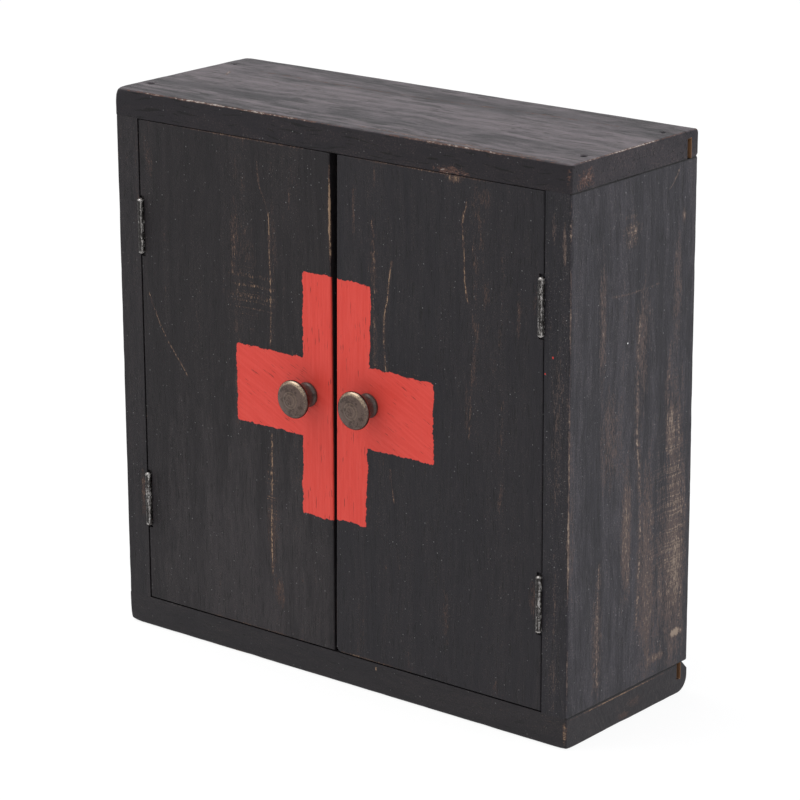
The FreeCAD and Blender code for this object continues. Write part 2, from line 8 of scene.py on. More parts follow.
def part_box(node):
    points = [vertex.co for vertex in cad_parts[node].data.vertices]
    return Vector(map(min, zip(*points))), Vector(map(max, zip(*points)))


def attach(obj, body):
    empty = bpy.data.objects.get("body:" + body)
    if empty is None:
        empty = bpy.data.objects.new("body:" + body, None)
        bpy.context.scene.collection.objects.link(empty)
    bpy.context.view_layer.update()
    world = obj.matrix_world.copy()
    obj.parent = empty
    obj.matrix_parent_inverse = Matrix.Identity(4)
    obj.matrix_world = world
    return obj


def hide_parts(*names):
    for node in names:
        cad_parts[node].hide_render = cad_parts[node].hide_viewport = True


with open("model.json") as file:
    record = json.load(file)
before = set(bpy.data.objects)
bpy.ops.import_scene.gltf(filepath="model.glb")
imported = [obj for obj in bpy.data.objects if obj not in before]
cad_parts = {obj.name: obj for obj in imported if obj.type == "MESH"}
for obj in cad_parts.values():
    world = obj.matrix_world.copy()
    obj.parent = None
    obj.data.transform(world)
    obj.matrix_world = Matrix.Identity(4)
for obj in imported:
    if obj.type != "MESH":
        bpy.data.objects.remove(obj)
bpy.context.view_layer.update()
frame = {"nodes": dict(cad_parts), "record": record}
nodes = frame["nodes"]
record = frame["record"]
bodyOf = {node: body for body, members in record["behaviour"]["bodies"].items() for node in members}
slotOf = {part["node"]: part["material_slot"] for part in record["subparts"]}
print("frame:", len(nodes), "nodes")

mm = 0.001
cadWeld = 1e-6  # in metres, corners of a CAD mesh closer than this are one corner
farAway = 1.0  # in metres, longer than anything here


def metres(values):
    return tuple(value * mm for value in values)


def axisVector(axis):
    return Vector((axis == 0, axis == 1, axis == 2))


# Camera

cameraView = {
    "place": (1.58969, -1.94625, 0.97738),
    "azimuth": 39.234,
    "elevation": 16.899,
    "roll": -0.280,
    "lens": 149.454,
}


def addCamera(view):
    azimuth = math.radians(view["azimuth"])
    elevation = math.radians(view["elevation"])
    flat = math.cos(elevation)
    back = Vector((math.sin(azimuth) * flat, -math.cos(azimuth) * flat, math.sin(elevation)))
    level = Vector((math.cos(azimuth), math.sin(azimuth), 0))
    upright = back.cross(level)
    turn = Matrix((level, upright, back)).transposed()
    roll = Matrix.Rotation(math.radians(view["roll"]), 3, "Z")
    data = bpy.data.cameras.new("camera")
    data.lens = view["lens"]
    camera = bpy.data.objects.new("camera", data)
    camera.matrix_world = Matrix.Translation(view["place"]) @ (turn @ roll).to_4x4()
    bpy.context.scene.collection.objects.link(camera)
    bpy.context.scene.camera = camera


addCamera(cameraView)
print("camera placed")


# Node wiring

floatSocket = "NodeSocketFloat"
vectorSocket = "NodeSocketVector"
colourSocket = "NodeSocketColor"
mixFactor, mixFirst, mixSecond, mixResult = 0, 6, 7, 2  # the places of a Mix node's colour sockets
noiseMiddle = 0.5


def plug(value, socket):
    if isinstance(value, bpy.types.NodeSocket):
        socket.id_data.links.new(value, socket)
    else:
        socket.default_value = value


def treeOf(values):
    # the node tree of the first value that is a socket
    return next(value.id_data for value in values if isinstance(value, bpy.types.NodeSocket))


def addNode(kind, values, tree=None, **settings):
    node = (tree or treeOf(values.values())).nodes.new(kind)
    for key, setting in settings.items():
        setattr(node, key, setting)
    for key, value in values.items():
        plug(value, node.inputs[key])
    return node


def calc(operation, *values):
    return addNode("ShaderNodeMath", dict(enumerate(values)), operation=operation).outputs[0]


def times(first, second):
    return calc("MULTIPLY", first, second)


def timesPlus(first, second, third):
    return calc("MULTIPLY_ADD", first, second, third)


def plus(first, second):
    return calc("ADD", first, second)


def minus(first, second):
    return calc("SUBTRACT", first, second)


def larger(first, second):
    return calc("MAXIMUM", first, second)


def smaller(first, second):
    return calc("MINIMUM", first, second)


def gap(first, second):
    return calc("ABSOLUTE", minus(first, second))


def calcVector(operation, *values):
    node = addNode("ShaderNodeVectorMath", dict(enumerate(values)), operation=operation)
    return node.outputs["Value" if operation == "LENGTH" else "Vector"]


def fade(value, start, end):  # 0 at start, 1 at end, smooth between
    values = {"Value": value, "From Min": start, "From Max": end}
    return addNode("ShaderNodeMapRange", values, interpolation_type="SMOOTHSTEP").outputs["Result"]


def cloud(vector, scale, detail=2.0, rough=0.5, output="Fac"):
    values = {"Vector": vector, "Scale": scale, "Detail": detail, "Roughness": rough}
    return addNode("ShaderNodeTexNoise", values).outputs[output]


def aboutZero(value):
    return minus(value, noiseMiddle)


def blend(factor, first, second):
    values = {mixFactor: factor, mixFirst: first, mixSecond: second}
    return addNode("ShaderNodeMix", values, data_type="RGBA").outputs[mixResult]


def split(vector):
    return addNode("ShaderNodeSeparateXYZ", {"Vector": vector}).outputs


def socketKind(value):
    if isinstance(value, (int, float)):
        return floatSocket
    return vectorSocket if len(value) == 3 else colourSocket


def newGroup(name, inputs, values, colours=()):
    # inputs are given with their defaults, outputs are values or colours
    tree = bpy.data.node_groups.new(name, "ShaderNodeTree")
    for label, default in inputs.items():
        socket = tree.interface.new_socket(label, in_out="INPUT", socket_type=socketKind(default))
        socket.default_value = default
    for kind, labels in ((colourSocket, colours), (floatSocket, values)):
        for label in labels:
            tree.interface.new_socket(label, in_out="OUTPUT", socket_type=kind)
    given = tree.nodes.new("NodeGroupInput").outputs
    result = tree.nodes.new("NodeGroupOutput").inputs
    return given, result


def useGroup(name, values):
    return addNode("ShaderNodeGroup", values, node_tree=bpy.data.node_groups[name]).outputs


# Shared effects. In their values, clouds are (scale, detail, roughness) and steps are the ends of a fade.

grainValues = {
    "drift": (11, 1.5), "shortShare": 0.14, "band": (55, 4, 0.68), "bandShare": 0.55, "short": (190, 4, 0.7),
    "fibre": (720, 3, 0.65), "fleck": (1150, 4, 0.75), "fleckGain": 3.2, "pore": (1300, 1, 0.5),
    "poreStep": (0.60, 0.70), "ring": (17, 1.2, 0.45), "ringMiddle": 0.5, "ringStep": (0.10, 0.42),
    "grit": (950, 2, 0.7),
}
grainMasks = ("Streak", "Fibre", "Fleck", "Pore", "Figure", "Grit")


def buildGrainField():
    # streaks, fibres, flecks, pores and growth lines that run along the board
    given, result = newGroup("grainField", {
        "Vector": (0, 0, 0), "Stretch": (1, 1, 0.05), "Shift": (0, 0, 0), "Swirl": 0.012, "Rings": 17.0,
    }, grainMasks)
    grain = grainValues
    place = calcVector("ADD", given["Vector"], given["Shift"])
    drift = cloud(place, *grain["drift"], output="Color")
    sway = {"Vector": calcVector("SUBTRACT", drift, (noiseMiddle,) * 3), "Scale": given["Swirl"]}
    swing = addNode("ShaderNodeVectorMath", sway, operation="SCALE").outputs["Vector"]
    bent = calcVector("ADD", place, swing)
    drawn = calcVector("MULTIPLY", bent, given["Stretch"])
    least = grain["shortShare"]
    shorter = calcVector("MULTIPLY_ADD", given["Stretch"], (1 - least,) * 3, (least,) * 3)
    short = calcVector("MULTIPLY", bent, shorter)
    bands = times(cloud(drawn, *grain["band"]), grain["bandShare"])
    streak = timesPlus(cloud(short, *grain["short"]), 1 - grain["bandShare"], bands)
    fleck = times(aboutZero(cloud(short, *grain["fleck"])), grain["fleckGain"])
    pore = fade(cloud(drawn, *grain["pore"]), *grain["poreStep"])
    rings = times(cloud(drawn, *grain["ring"]), given["Rings"])
    ridge = gap(calc("FRACT", rings), grain["ringMiddle"])
    figure = fade(ridge, *grain["ringStep"])
    fibre = cloud(drawn, *grain["fibre"])
    grit = cloud(given["Vector"], *grain["grit"])
    for name, mask in zip(grainMasks, (streak, fibre, fleck, pore, figure, grit)):
        plug(mask, result[name])


edgeValues = {
    "ragged": (420, 3, 0.6), "raggedWidth": 2.2, "patch": (26, 3, 0.6), "patchStart": 0.78, "coverShare": 0.5,
    "patchSoft": 0.12,
}


def buildEdgeWear():
    # how close a spot is to an edge of its box, broken up into patches
    given, result = newGroup("edgeWear", {
        "Vector": (0, 0, 0), "Low": (0, 0, 0), "High": (1, 1, 1), "Reach": 0.003, "Cover": 0.5,
    }, ("Edge",))
    edges = edgeValues
    fromLow = calcVector("ABSOLUTE", calcVector("SUBTRACT", given["Vector"], given["Low"]))
    fromHigh = calcVector("ABSOLUTE", calcVector("SUBTRACT", given["High"], given["Vector"]))
    x, y, z = split(calcVector("MINIMUM", fromLow, fromHigh))
    nearer, farther = smaller(x, y), larger(x, y)
    edge = larger(nearer, smaller(farther, z))
    ragged = aboutZero(cloud(given["Vector"], *edges["ragged"]))
    worn = timesPlus(ragged, times(given["Reach"], edges["raggedWidth"]), edge)
    band = fade(worn, given["Reach"], 0)
    start = minus(edges["patchStart"], times(given["Cover"], edges["coverShare"]))
    patch = cloud(given["Vector"], *edges["patch"])
    patches = fade(patch, start, plus(start, edges["patchSoft"]))
    plug(times(band, patches), result["Edge"])


speckValues = {"smallest": 0.08, "spread": 0.07, "core": 0.5, "faint": 0.14, "bright": 0.5, "rare": 2}


def buildPaintSpeck():
    # small pale dust and paint specks, few of them bright
    inputs = {"Vector": (0, 0, 0), "Scale": 230, "Share": 0.8}
    given, result = newGroup("paintSpeck", inputs, ("Speck",))
    specks = speckValues
    values = {"Vector": given["Vector"], "Scale": given["Scale"]}
    cells = addNode("ShaderNodeTexVoronoi", values).outputs
    picked = split(cells["Color"])
    chosen = calc("LESS_THAN", picked["X"], given["Share"])
    radius = timesPlus(picked["Y"], specks["spread"], specks["smallest"])
    dot = fade(cells["Distance"], radius, times(radius, specks["core"]))
    rare = calc("POWER", picked["Z"], specks["rare"])
    strength = timesPlus(rare, specks["bright"], specks["faint"])
    plug(times(times(dot, chosen), strength), result["Speck"])


crackValues = {
    "shake": (260, 2, 0.6), "shakeWidth": 2.5, "dash": (380, 2, 0.6), "dashStep": (0.38, 0.56),
    "core": 0.75, "halo": 0.42, "haloWidth": 4.5, "end": 0.07,
    "swell": (55, 1, 0.5), "swellGain": 1.3, "swellLeast": 0.35,
}


def buildGrainCrack():
    # wear that is strong on a crack's line and weaker beside it
    given, result = newGroup("grainCrack", {
        "Across": 0.0, "Path": 0.0, "Along": 0.0, "Low": 0.0, "High": 0.1, "Width": 0.0008, "Strength": 1.0,
    }, ("Wear",))
    crack = crackValues
    track = addNode("ShaderNodeCombineXYZ", {"X": given["Along"], "Y": given["Path"]}).outputs[0]
    shake = aboutZero(cloud(track, *crack["shake"]))
    path = timesPlus(shake, times(given["Width"], crack["shakeWidth"]), given["Path"])
    away = gap(given["Across"], path)
    dashes = fade(cloud(track, *crack["dash"]), *crack["dashStep"])
    core = times(fade(away, given["Width"], 0), dashes)
    halo = fade(away, times(given["Width"], crack["haloWidth"]), 0)
    line = timesPlus(core, crack["core"], times(halo, crack["halo"]))
    run = minus(given["High"], given["Low"])
    part = calc("DIVIDE", minus(given["Along"], given["Low"]), run)
    ends = times(fade(part, 0, crack["end"]), fade(part, 1, 1 - crack["end"]))
    swell = timesPlus(cloud(track, *crack["swell"]), crack["swellGain"], crack["swellLeast"])
    strength = times(given["Strength"], times(swell, ends))
    plug(times(line, strength), result["Wear"])


rubValues = {"ragged": 2.4, "step": (1.0, 0.1)}


def buildRubPatch():
    # a soft oval where hands or other things rubbed the paint thin
    given, result = newGroup("rubPatch", {
        "Vector": (0, 0, 0), "Centre": (0, 0, 0), "Size": (0.02, 0.02, 0.02), "Strength": 1.0, "Ragged": 0.5,
    }, ("Rub",))
    offset = calcVector("SUBTRACT", given["Vector"], given["Centre"])
    far = calcVector("LENGTH", calcVector("DIVIDE", offset, given["Size"]))
    ragged = minus(noiseMiddle, given["Ragged"])
    inside = fade(timesPlus(ragged, rubValues["ragged"], far), *rubValues["step"])
    plug(times(inside, given["Strength"]), result["Rub"])


sawValues = {
    "bow": 3.0, "line": (0.95, 1.4), "perSpacing": 1.6, "detail": 1, "step": (0.47, 0.62), "fleckGain": 1.4,
    "least": 0.5, "shade": 0.35,
}


def buildSawMarks():
    # fine cuts across the grain, left by the saw and showing where the paint is thin
    given, result = newGroup("sawMarks", {
        "Level": 0.0, "Spacing": 0.0026, "Ragged": 0.5, "Fleck": 0.0,
    }, ("Mark",))
    cuts = sawValues
    bowed = timesPlus(given["Ragged"], times(given["Spacing"], cuts["bow"]), given["Level"])
    x, y = metres(cuts["line"])
    track = addNode("ShaderNodeCombineXYZ", {"X": x, "Y": y, "Z": bowed}).outputs[0]
    scale = calc("DIVIDE", cuts["perSpacing"], given["Spacing"])
    line = fade(cloud(track, scale, cuts["detail"]), *cuts["step"])
    broken = timesPlus(given["Fleck"], cuts["fleckGain"], cuts["least"])
    plug(times(line, broken), result["Mark"])


wornValues = {
    "thinFibre": (0.37, 0.63), "fibreShare": 0.4, "thinStreak": (0.41, 0.59), "streakShare": 0.6,
    "pore": (0.006, 0.006, 0.006, 1), "poreStrength": 0.75, "rubbed": (0.41, 0.60),
    "gritty": (0.52, 0.76), "gritStrength": 0.7, "pitted": (0.44, 0.26), "pitStrength": 0.8,
    "pit": (0.005, 0.004, 0.005, 1), "chalky": (0.60, 0.78), "stained": (0.54, 0.68), "gritWear": 0.8,
    "begun": (0.02, 0.16), "brown": (0.26, 0.62), "tan": (0.76, 1.18),
    "rough": 0.42, "fibreRough": 0.22, "brownRough": 0.2,
    "fibreRise": 0.5, "poreRise": -0.4, "gritRise": 0.8, "brownRise": -0.2, "tanRise": -0.4,
}


def buildWornPaint():
    # paint over wood: faded along the grain, worn through to brown and then to tan
    given, result = newGroup("wornPaint", {
        "Paint": (0.02, 0.02, 0.021, 1), "Faded": (0.05, 0.048, 0.048, 1),
        "Wood": (0.09, 0.05, 0.03, 1), "Bare": (0.3, 0.19, 0.1, 1), "Dust": (0.35, 0.34, 0.32, 1),
        "Streak": 0.5, "Fibre": 0.5, "Fleck": 0.0, "Pore": 0.0, "Figure": 0.0, "Grit": 0.5,
        "Fading": 0.5, "Bleach": 0.0, "Relief": 0.3, "Stain": 0.3, "Chalk": 0.2, "Wear": 0.0, "Speck": 0.0,
    }, ("Roughness", "Height"), ("Colour",))
    worn = wornValues

    def step(mask, name):
        return fade(mask, *worn[name])

    thinStreak = times(step(given["Streak"], "thinStreak"), worn["streakShare"])
    thin = timesPlus(step(given["Fibre"], "thinFibre"), worn["fibreShare"], thinStreak)
    lined = times(aboutZero(given["Figure"]), given["Relief"])
    faded = timesPlus(plus(thin, lined), given["Fading"], given["Bleach"])
    colour = blend(faded, given["Paint"], given["Faded"])
    colour = blend(times(given["Pore"], worn["poreStrength"]), colour, worn["pore"])
    rubbed = step(given["Streak"], "rubbed")
    gritty = times(step(given["Grit"], "gritty"), times(rubbed, worn["gritStrength"]))
    colour = blend(gritty, colour, given["Wood"])
    pitted = times(step(given["Grit"], "pitted"), worn["pitStrength"])
    colour = blend(pitted, colour, worn["pit"])
    chalky = times(step(given["Grit"], "chalky"), times(rubbed, given["Chalk"]))
    colour = blend(chalky, colour, given["Dust"])
    stained = times(step(given["Streak"], "stained"), given["Stain"])
    wear = larger(given["Wear"], stained)
    uneven = timesPlus(aboutZero(given["Grit"]), worn["gritWear"], given["Fleck"])
    torn = times(plus(wear, uneven), step(wear, "begun"))
    brown, tan = step(torn, "brown"), step(torn, "tan")
    colour = blend(brown, colour, given["Wood"])
    colour = blend(tan, colour, given["Bare"])
    plug(blend(given["Speck"], colour, given["Dust"]), result["Colour"])
    rough = timesPlus(given["Fibre"], worn["fibreRough"], worn["rough"])
    plug(timesPlus(brown, worn["brownRough"], rough), result["Roughness"])
    height = timesPlus(given["Figure"], given["Relief"], times(given["Fibre"], worn["fibreRise"]))
    rises = {"poreRise": given["Pore"], "gritRise": given["Grit"], "brownRise": brown, "tanRise": tan}
    for rise, mask in rises.items():
        height = timesPlus(mask, worn[rise], height)
    plug(height, result["Height"])


patinaValues = {
    "coarse": (4, 0.65), "fine": (3, 0.6), "finer": 4.5, "fineShare": 0.35, "start": 0.72, "coverShare": 0.44,
    "soft": 0.06,
}


def buildPatina():
    # blotches of old finish on metal and plastic
    given, result = newGroup("patina", {
        "Vector": (0, 0, 0), "Scale": 200, "Cover": 0.5,
    }, ("Blotch", "Mottle"))
    old = patinaValues
    coarse = cloud(given["Vector"], given["Scale"], *old["coarse"])
    fine = cloud(given["Vector"], times(given["Scale"], old["finer"]), *old["fine"])
    mixed = timesPlus(fine, old["fineShare"], times(coarse, 1 - old["fineShare"]))
    start = minus(old["start"], times(given["Cover"], old["coverShare"]))
    plug(fade(mixed, start, plus(start, old["soft"])), result["Blotch"])
    plug(fine, result["Mottle"])


for build in (buildGrainField, buildEdgeWear, buildPaintSpeck, buildGrainCrack, buildRubPatch, buildSawMarks,
              buildWornPaint, buildPatina):
    build()
print("shared effects:", len(bpy.data.node_groups), "node groups")


# Materials

def newMaterial(name):
    material = bpy.data.materials.new(name)
    material.use_nodes = True
    tree = material.node_tree
    place = addNode("ShaderNodeTexCoord", {}, tree).outputs["Object"]
    return material, tree.nodes["Principled BSDF"], place


def addBump(shader, height, depth):
    values = {"Height": height, "Distance": depth * mm}
    plug(addNode("ShaderNodeBump", values).outputs["Normal"], shader.inputs["Normal"])


alongX = (0.05, 1, 1)
alongY = (1, 0.05, 1)
alongZ = (1, 1, 0.05)

paintFinish = {
    "paint": (0.0132, 0.0114, 0.0138, 1),
    "faded": (0.050, 0.0435, 0.047, 1),
    "wood": (0.060, 0.040, 0.036, 1),
    "bare": (0.30, 0.20, 0.13, 1),
    "dust": (0.30, 0.30, 0.30, 1),
    "sheen": 0.22,
    "grainDepth": 0.35,
}

# the dark groove colour is painted shade in the groove
grooveFinish = {
    "raw": (0.24, 0.125, 0.062, 1), "dark": (0.030, 0.016, 0.011, 1),
    "margin": 0.5, "headroom": 4.5, "ragged": 2.5,
}


def between(value, low, high):
    return times(calc("GREATER_THAN", value, low), calc("LESS_THAN", value, high))


def grooveWoodAndShade(place, fibre, colour):
    # bare wood where the back panel's groove shows at the board's end, with painted shade in the groove
    groove = grooveFinish
    low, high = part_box("back_panel")
    margin = groove["margin"] * mm
    x, y, z = split(place)
    top = high.z + groove["headroom"] * mm
    inside = times(between(y, low.y - margin, high.y + margin),
                   between(z, low.z - margin, top + margin))
    deep = timesPlus(aboutZero(fibre), groove["ragged"] * mm, y)
    # painted shade: the groove is painted dark towards its front and raw wood towards its back
    raw = blend(fade(deep, (low.y + high.y) / 2, high.y), groove["dark"], groove["raw"])
    return blend(inside, colour, raw)


seamFinish = {"darkLine": (0.003, 0.003, 0.003, 1), "width": 1.15, "ragged": 1.5, "endDepth": 2}


def darkSeam(place, grit, low, high, levels, colour):
    # a dark line on the joints of the boards, seen at the cabinet's two ends
    seam = seamFinish
    x, y, z = split(place)
    fromEnd = smaller(minus(x, low.x), minus(high.x, x))
    away = farAway
    for level in levels:
        away = smaller(away, gap(z, level))
    ragged = times(aboutZero(grit), seam["ragged"] * mm)
    line = fade(plus(away, ragged), seam["width"] * mm, 0)
    darkLine = times(line, calc("LESS_THAN", fromEnd, seam["endDepth"] * mm))
    return blend(darkLine, colour, seam["darkLine"])


def crackWear(spot, acrossAxis, alongAxis, points, width, strength):
    # points are (across, along) in mm, from the crack's low end to its high end
    acrossList, alongList = zip(*points)
    margin = 1  # room for the curve beside the path
    left, right = min(acrossList) - margin, max(acrossList) + margin
    start, end = alongList[0], alongList[-1]
    along = spot[alongAxis]
    part = calc("DIVIDE", minus(along, start * mm), (end - start) * mm)
    curve = addNode("ShaderNodeFloatCurve", {"Value": part})
    line = curve.mapping.curves[0]
    places = [((height - start) / (end - start), (side - left) / (right - left)) for side, height in points]
    line.points[0].location, line.points[1].location = places[0], places[-1]
    for place in places[1:-1]:
        line.points.new(*place)
    curve.mapping.update()
    path = timesPlus(curve.outputs["Value"], (right - left) * mm, left * mm)
    return useGroup("grainCrack", {
        "Across": spot[acrossAxis], "Path": path, "Along": along, "Low": start * mm, "High": end * mm,
        "Width": width * mm, "Strength": strength})["Wear"]


def rubAt(place, grain, centre, size, strength):
    return useGroup("rubPatch", {
        "Vector": place, "Centre": metres(centre), "Size": metres(size), "Strength": strength,
        "Ragged": grain["Streak"]})["Rub"]


faceDepth = {"lines": (6, 4), "open": (1.4, 0.7)}  # how deep lines and bleaching reach into a face, in mm


def boardWear(place, grain, look, low, high):
    wear = useGroup("edgeWear", {
        "Vector": place, "Low": low, "High": high, "Reach": look["edgeReach"] * mm,
        "Cover": look["edgeCover"]})["Edge"]
    for rub in look["rubs"]:
        wear = larger(wear, rubAt(place, grain, *rub))
    spot = split(place)
    lines = [crackWear(spot, look["across"], look["along"], *crack) for crack in look["cracks"]]
    lines += [crackWear(spot, look["along"], look["across"], *scratch) for scratch in look["scratches"]]
    if lines:
        axis, level = look["outside"]
        outside = fade(gap(spot[axis], level * mm), *metres(faceDepth["lines"]))
        for line in lines:
            wear = larger(wear, times(line, outside))
    if look["sawn"]:
        marks = useGroup("sawMarks", {
            "Level": spot[look["along"]], "Ragged": grain["Streak"], "Fleck": grain["Fleck"]})["Mark"]
        cuts = minus(marks, sawValues["shade"])
        for patch in look["sawn"]:
            wear = timesPlus(rubAt(place, grain, *patch), cuts, wear)
    return wear


dropFinish = {"red": (0.50, 0.040, 0.030, 1), "white": (0.75, 0.75, 0.74, 1), "edge": (0.3, 0.5)}


def boardMaterial(name, look, low, high):
    # low and high are the corners of the box whose edges are worn
    material, shader, place = newMaterial(name)
    grain = useGroup("grainField", {
        "Vector": place, "Stretch": look["grain"], "Shift": metres(look["shift"]), "Swirl": look["swirl"],
        "Rings": look["rings"]})
    wear = boardWear(place, grain, look, low, high)
    speck = useGroup("paintSpeck", {"Vector": place, "Share": look["specks"]})["Speck"]
    fading, bleach, relief = look["fading"], 0.0, look["relief"]
    for area in look["pale"]:
        bleach = plus(bleach, rubAt(place, grain, *area))
    if look["openFace"]:
        bleached = look["openFace"]
        level = high["XYZ".index(bleached["axis"])]
        reach = [level - depth * mm for depth in faceDepth["open"]]
        onFace = fade(split(place)[bleached["axis"]], *reach)
        bleach = timesPlus(onFace, bleached["bleach"], bleach)
        fading = timesPlus(onFace, bleached["fading"] - look["fading"], fading)
        relief = timesPlus(onFace, bleached["relief"] - look["relief"], relief)
    values = {key.capitalize(): look[key] for key in ("paint", "faded", "wood", "bare", "stain", "chalk")}
    values |= {mask: grain[mask] for mask in grainMasks}
    values |= {"Dust": paintFinish["dust"], "Fading": fading, "Bleach": bleach, "Relief": relief}
    values |= {"Wear": wear, "Speck": speck}
    paint = useGroup("wornPaint", values)
    colour, height = paint["Colour"], paint["Height"]
    if look["joints"]:
        colour = darkSeam(place, grain["Grit"], low, high, look["seams"], colour)
    if look["groove"]:
        colour = grooveWoodAndShade(place, grain["Fibre"], colour)
    if look["cross"]:
        colour, height = crossOver(place, look["cross"], colour, height)
    for centre, size, tint in look["drops"]:
        drop = rubAt(place, grain, centre, size, 1.0)
        colour = blend(fade(drop, *dropFinish["edge"]), colour, dropFinish[tint])
    plug(colour, shader.inputs["Base Color"])
    plug(paint["Roughness"], shader.inputs["Roughness"])
    shader.inputs["Specular IOR Level"].default_value = look["sheen"]
    addBump(shader, height, paintFinish["grainDepth"])
    return material


# The cross: brushed red paint on both doors, a bar and an arm on each

crossFinish = {
    "red": (0.645, 0.056, 0.041, 1),
    "light": (0.69, 0.070, 0.053, 1),
    "nick": (0.16, 0.019, 0.016, 1),
    "ragged": 5.0, "raggedCloud": (85, 3, 0.6),
    "frayed": 3.4, "frayedCloud": (300, 3, 0.65),
    "lowCorner": 2, "armCorner": 0.5, "faceDepth": (3, 1), "edgeSoft": 0.5, "rim": (4, 0.8),
    "barStretch": (1, 1, 0.06), "armStretch": (0.07, 1, 1), "armTilt": -0.45, "armStart": (-4, 12),
    "hair": (560, 3, 0.6), "lightStep": (0.35, 0.7),
    "scarCloud": (62, 2), "scarStep": (0.42, 0.57), "nickCloud": (1000, 2, 0.5), "nickStep": (0.64, 0.70),
    "paintDepth": 0.55, "rimRise": 0.6, "strokeRise": 0.5, "coatRise": 0.6, "grainHidden": 0.6,
}


def buildCrossPaint():
    # the half of the cross on one door, with ragged edges and brush strokes
    given, result = newGroup("crossPaint", {
        "Vector": (0, 0, 0), "Side": 1.0, "Face": 0.0, "Corner": 0.003, "Bar Top": 0.03, "Bar Bottom": 0.03,
        "Arm End": 0.1, "Arm Low": 0.2, "Arm High": 0.26, "Top": 0.33, "Bottom": 0.13,
    }, ("Mask", "Rim", "Stroke", "Nick"))
    cross = crossFinish
    place, corner = given["Vector"], given["Corner"]
    x, y, z = split(place)
    across = times(x, given["Side"])
    fromTop = minus(given["Top"], z)
    fromBottom = minus(z, given["Bottom"])
    part = calc("DIVIDE", fromBottom, minus(given["Top"], given["Bottom"]))
    spread = minus(given["Bar Top"], given["Bar Bottom"])
    barEdge = timesPlus(spread, part, given["Bar Bottom"])
    bar = calc("SMOOTH_MIN", fromTop, minus(barEdge, across), corner)
    bar = calc("SMOOTH_MIN", bar, fromBottom, cross["lowCorner"] * mm)
    arm = smaller(minus(given["Arm High"], z), minus(z, given["Arm Low"]))
    armEnd = minus(given["Arm End"], across)
    arm = calc("SMOOTH_MIN", arm, armEnd, times(corner, cross["armCorner"]))
    inside = larger(bar, arm)
    for name in ("ragged", "frayed"):
        uneven = aboutZero(cloud(place, *cross[name + "Cloud"]))
        inside = timesPlus(uneven, cross[name] * mm, inside)
    onFace = fade(y, *[plus(given["Face"], depth * mm) for depth in cross["faceDepth"]])
    mask = times(fade(inside, 0, cross["edgeSoft"] * mm), onFace)
    plug(mask, result["Mask"])
    plug(times(mask, fade(inside, *metres(cross["rim"]))), result["Rim"])
    upright = calcVector("MULTIPLY", place, cross["barStretch"])
    tilted = addNode("ShaderNodeVectorRotate", {"Vector": place, "Angle": cross["armTilt"]},
                     rotation_type="Y_AXIS").outputs[0]
    level = calcVector("MULTIPLY", tilted, cross["armStretch"])
    onArm = fade(minus(arm, bar), *metres(cross["armStart"]))

    def brushed(strokes):
        return blend(onArm, cloud(upright, *strokes), cloud(level, *strokes))

    plug(brushed(cross["hair"]), result["Stroke"])
    scarred = fade(cloud(place, *cross["scarCloud"]), *cross["scarStep"])
    scars = times(fade(brushed(cross["nickCloud"]), *cross["nickStep"]), scarred)
    plug(times(scars, mask), result["Nick"])


buildCrossPaint()


def crossOver(place, cross, colour, height):
    # the red paint over a door's colour and height
    finish = crossFinish
    values = {key: value * mm for key, value in cross["edges"].items()}
    paint = useGroup("crossPaint", values | {"Vector": place, "Side": cross["side"]})
    red = blend(fade(paint["Stroke"], *finish["lightStep"]), finish["red"], finish["light"])
    red = blend(paint["Nick"], red, finish["nick"])
    colour = blend(paint["Mask"], colour, red)
    strokes = times(paint["Stroke"], finish["strokeRise"])
    body = timesPlus(paint["Rim"], finish["rimRise"], strokes)
    coat = times(plus(body, finish["coatRise"]), finish["paintDepth"])
    kept = times(height, timesPlus(paint["Mask"], -finish["grainHidden"], 1))
    return colour, timesPlus(coat, paint["Mask"], kept)


# Boards: the CAD boards with uneven planed faces and knocked edges

boardShape = {
    "cell": 6.0, "edgeCut": 2.3, "sharp": 38, "flat": 0.3, "faceReach": 4.0,
    "wave": 0.25, "waveScale": 9, "ripple": 0.10, "rippleScale": 55,
    "chip": 0.5, "chipReach": 4.5, "chipScale": 38, "chipLeast": 0.05,
    "nickScale": 130, "nickLeast": 0.1, "nickShare": 0.5, "knockCurve": 1.5,
    "jointWidth": 0.8, "jointDepth": 0.6, "jointNear": 0.1,
    "jointScale": 60, "jointLeast": 0.75, "jointSpread": 0.5,
}

plainLook = {
    "grain": alongZ, "shift": (0, 0, 0), "swirl": 0.012, "rings": 17, "along": "Z", "across": "X",
    "edgeReach": 2.2, "edgeCover": 0.5, "fading": 0.25, "relief": 0.2, "stain": 0.3, "chalk": 0.12,
    "specks": 0.6, "openFace": None, "groove": False, "cross": None,
    "rubs": (), "pale": (), "cracks": (), "scratches": (), "sawn": (), "drops": (), "worn": (), "knocks": (),
    "joints": (),
} | {key: paintFinish[key] for key in ("sheen", "paint", "faded", "wood", "bare")}

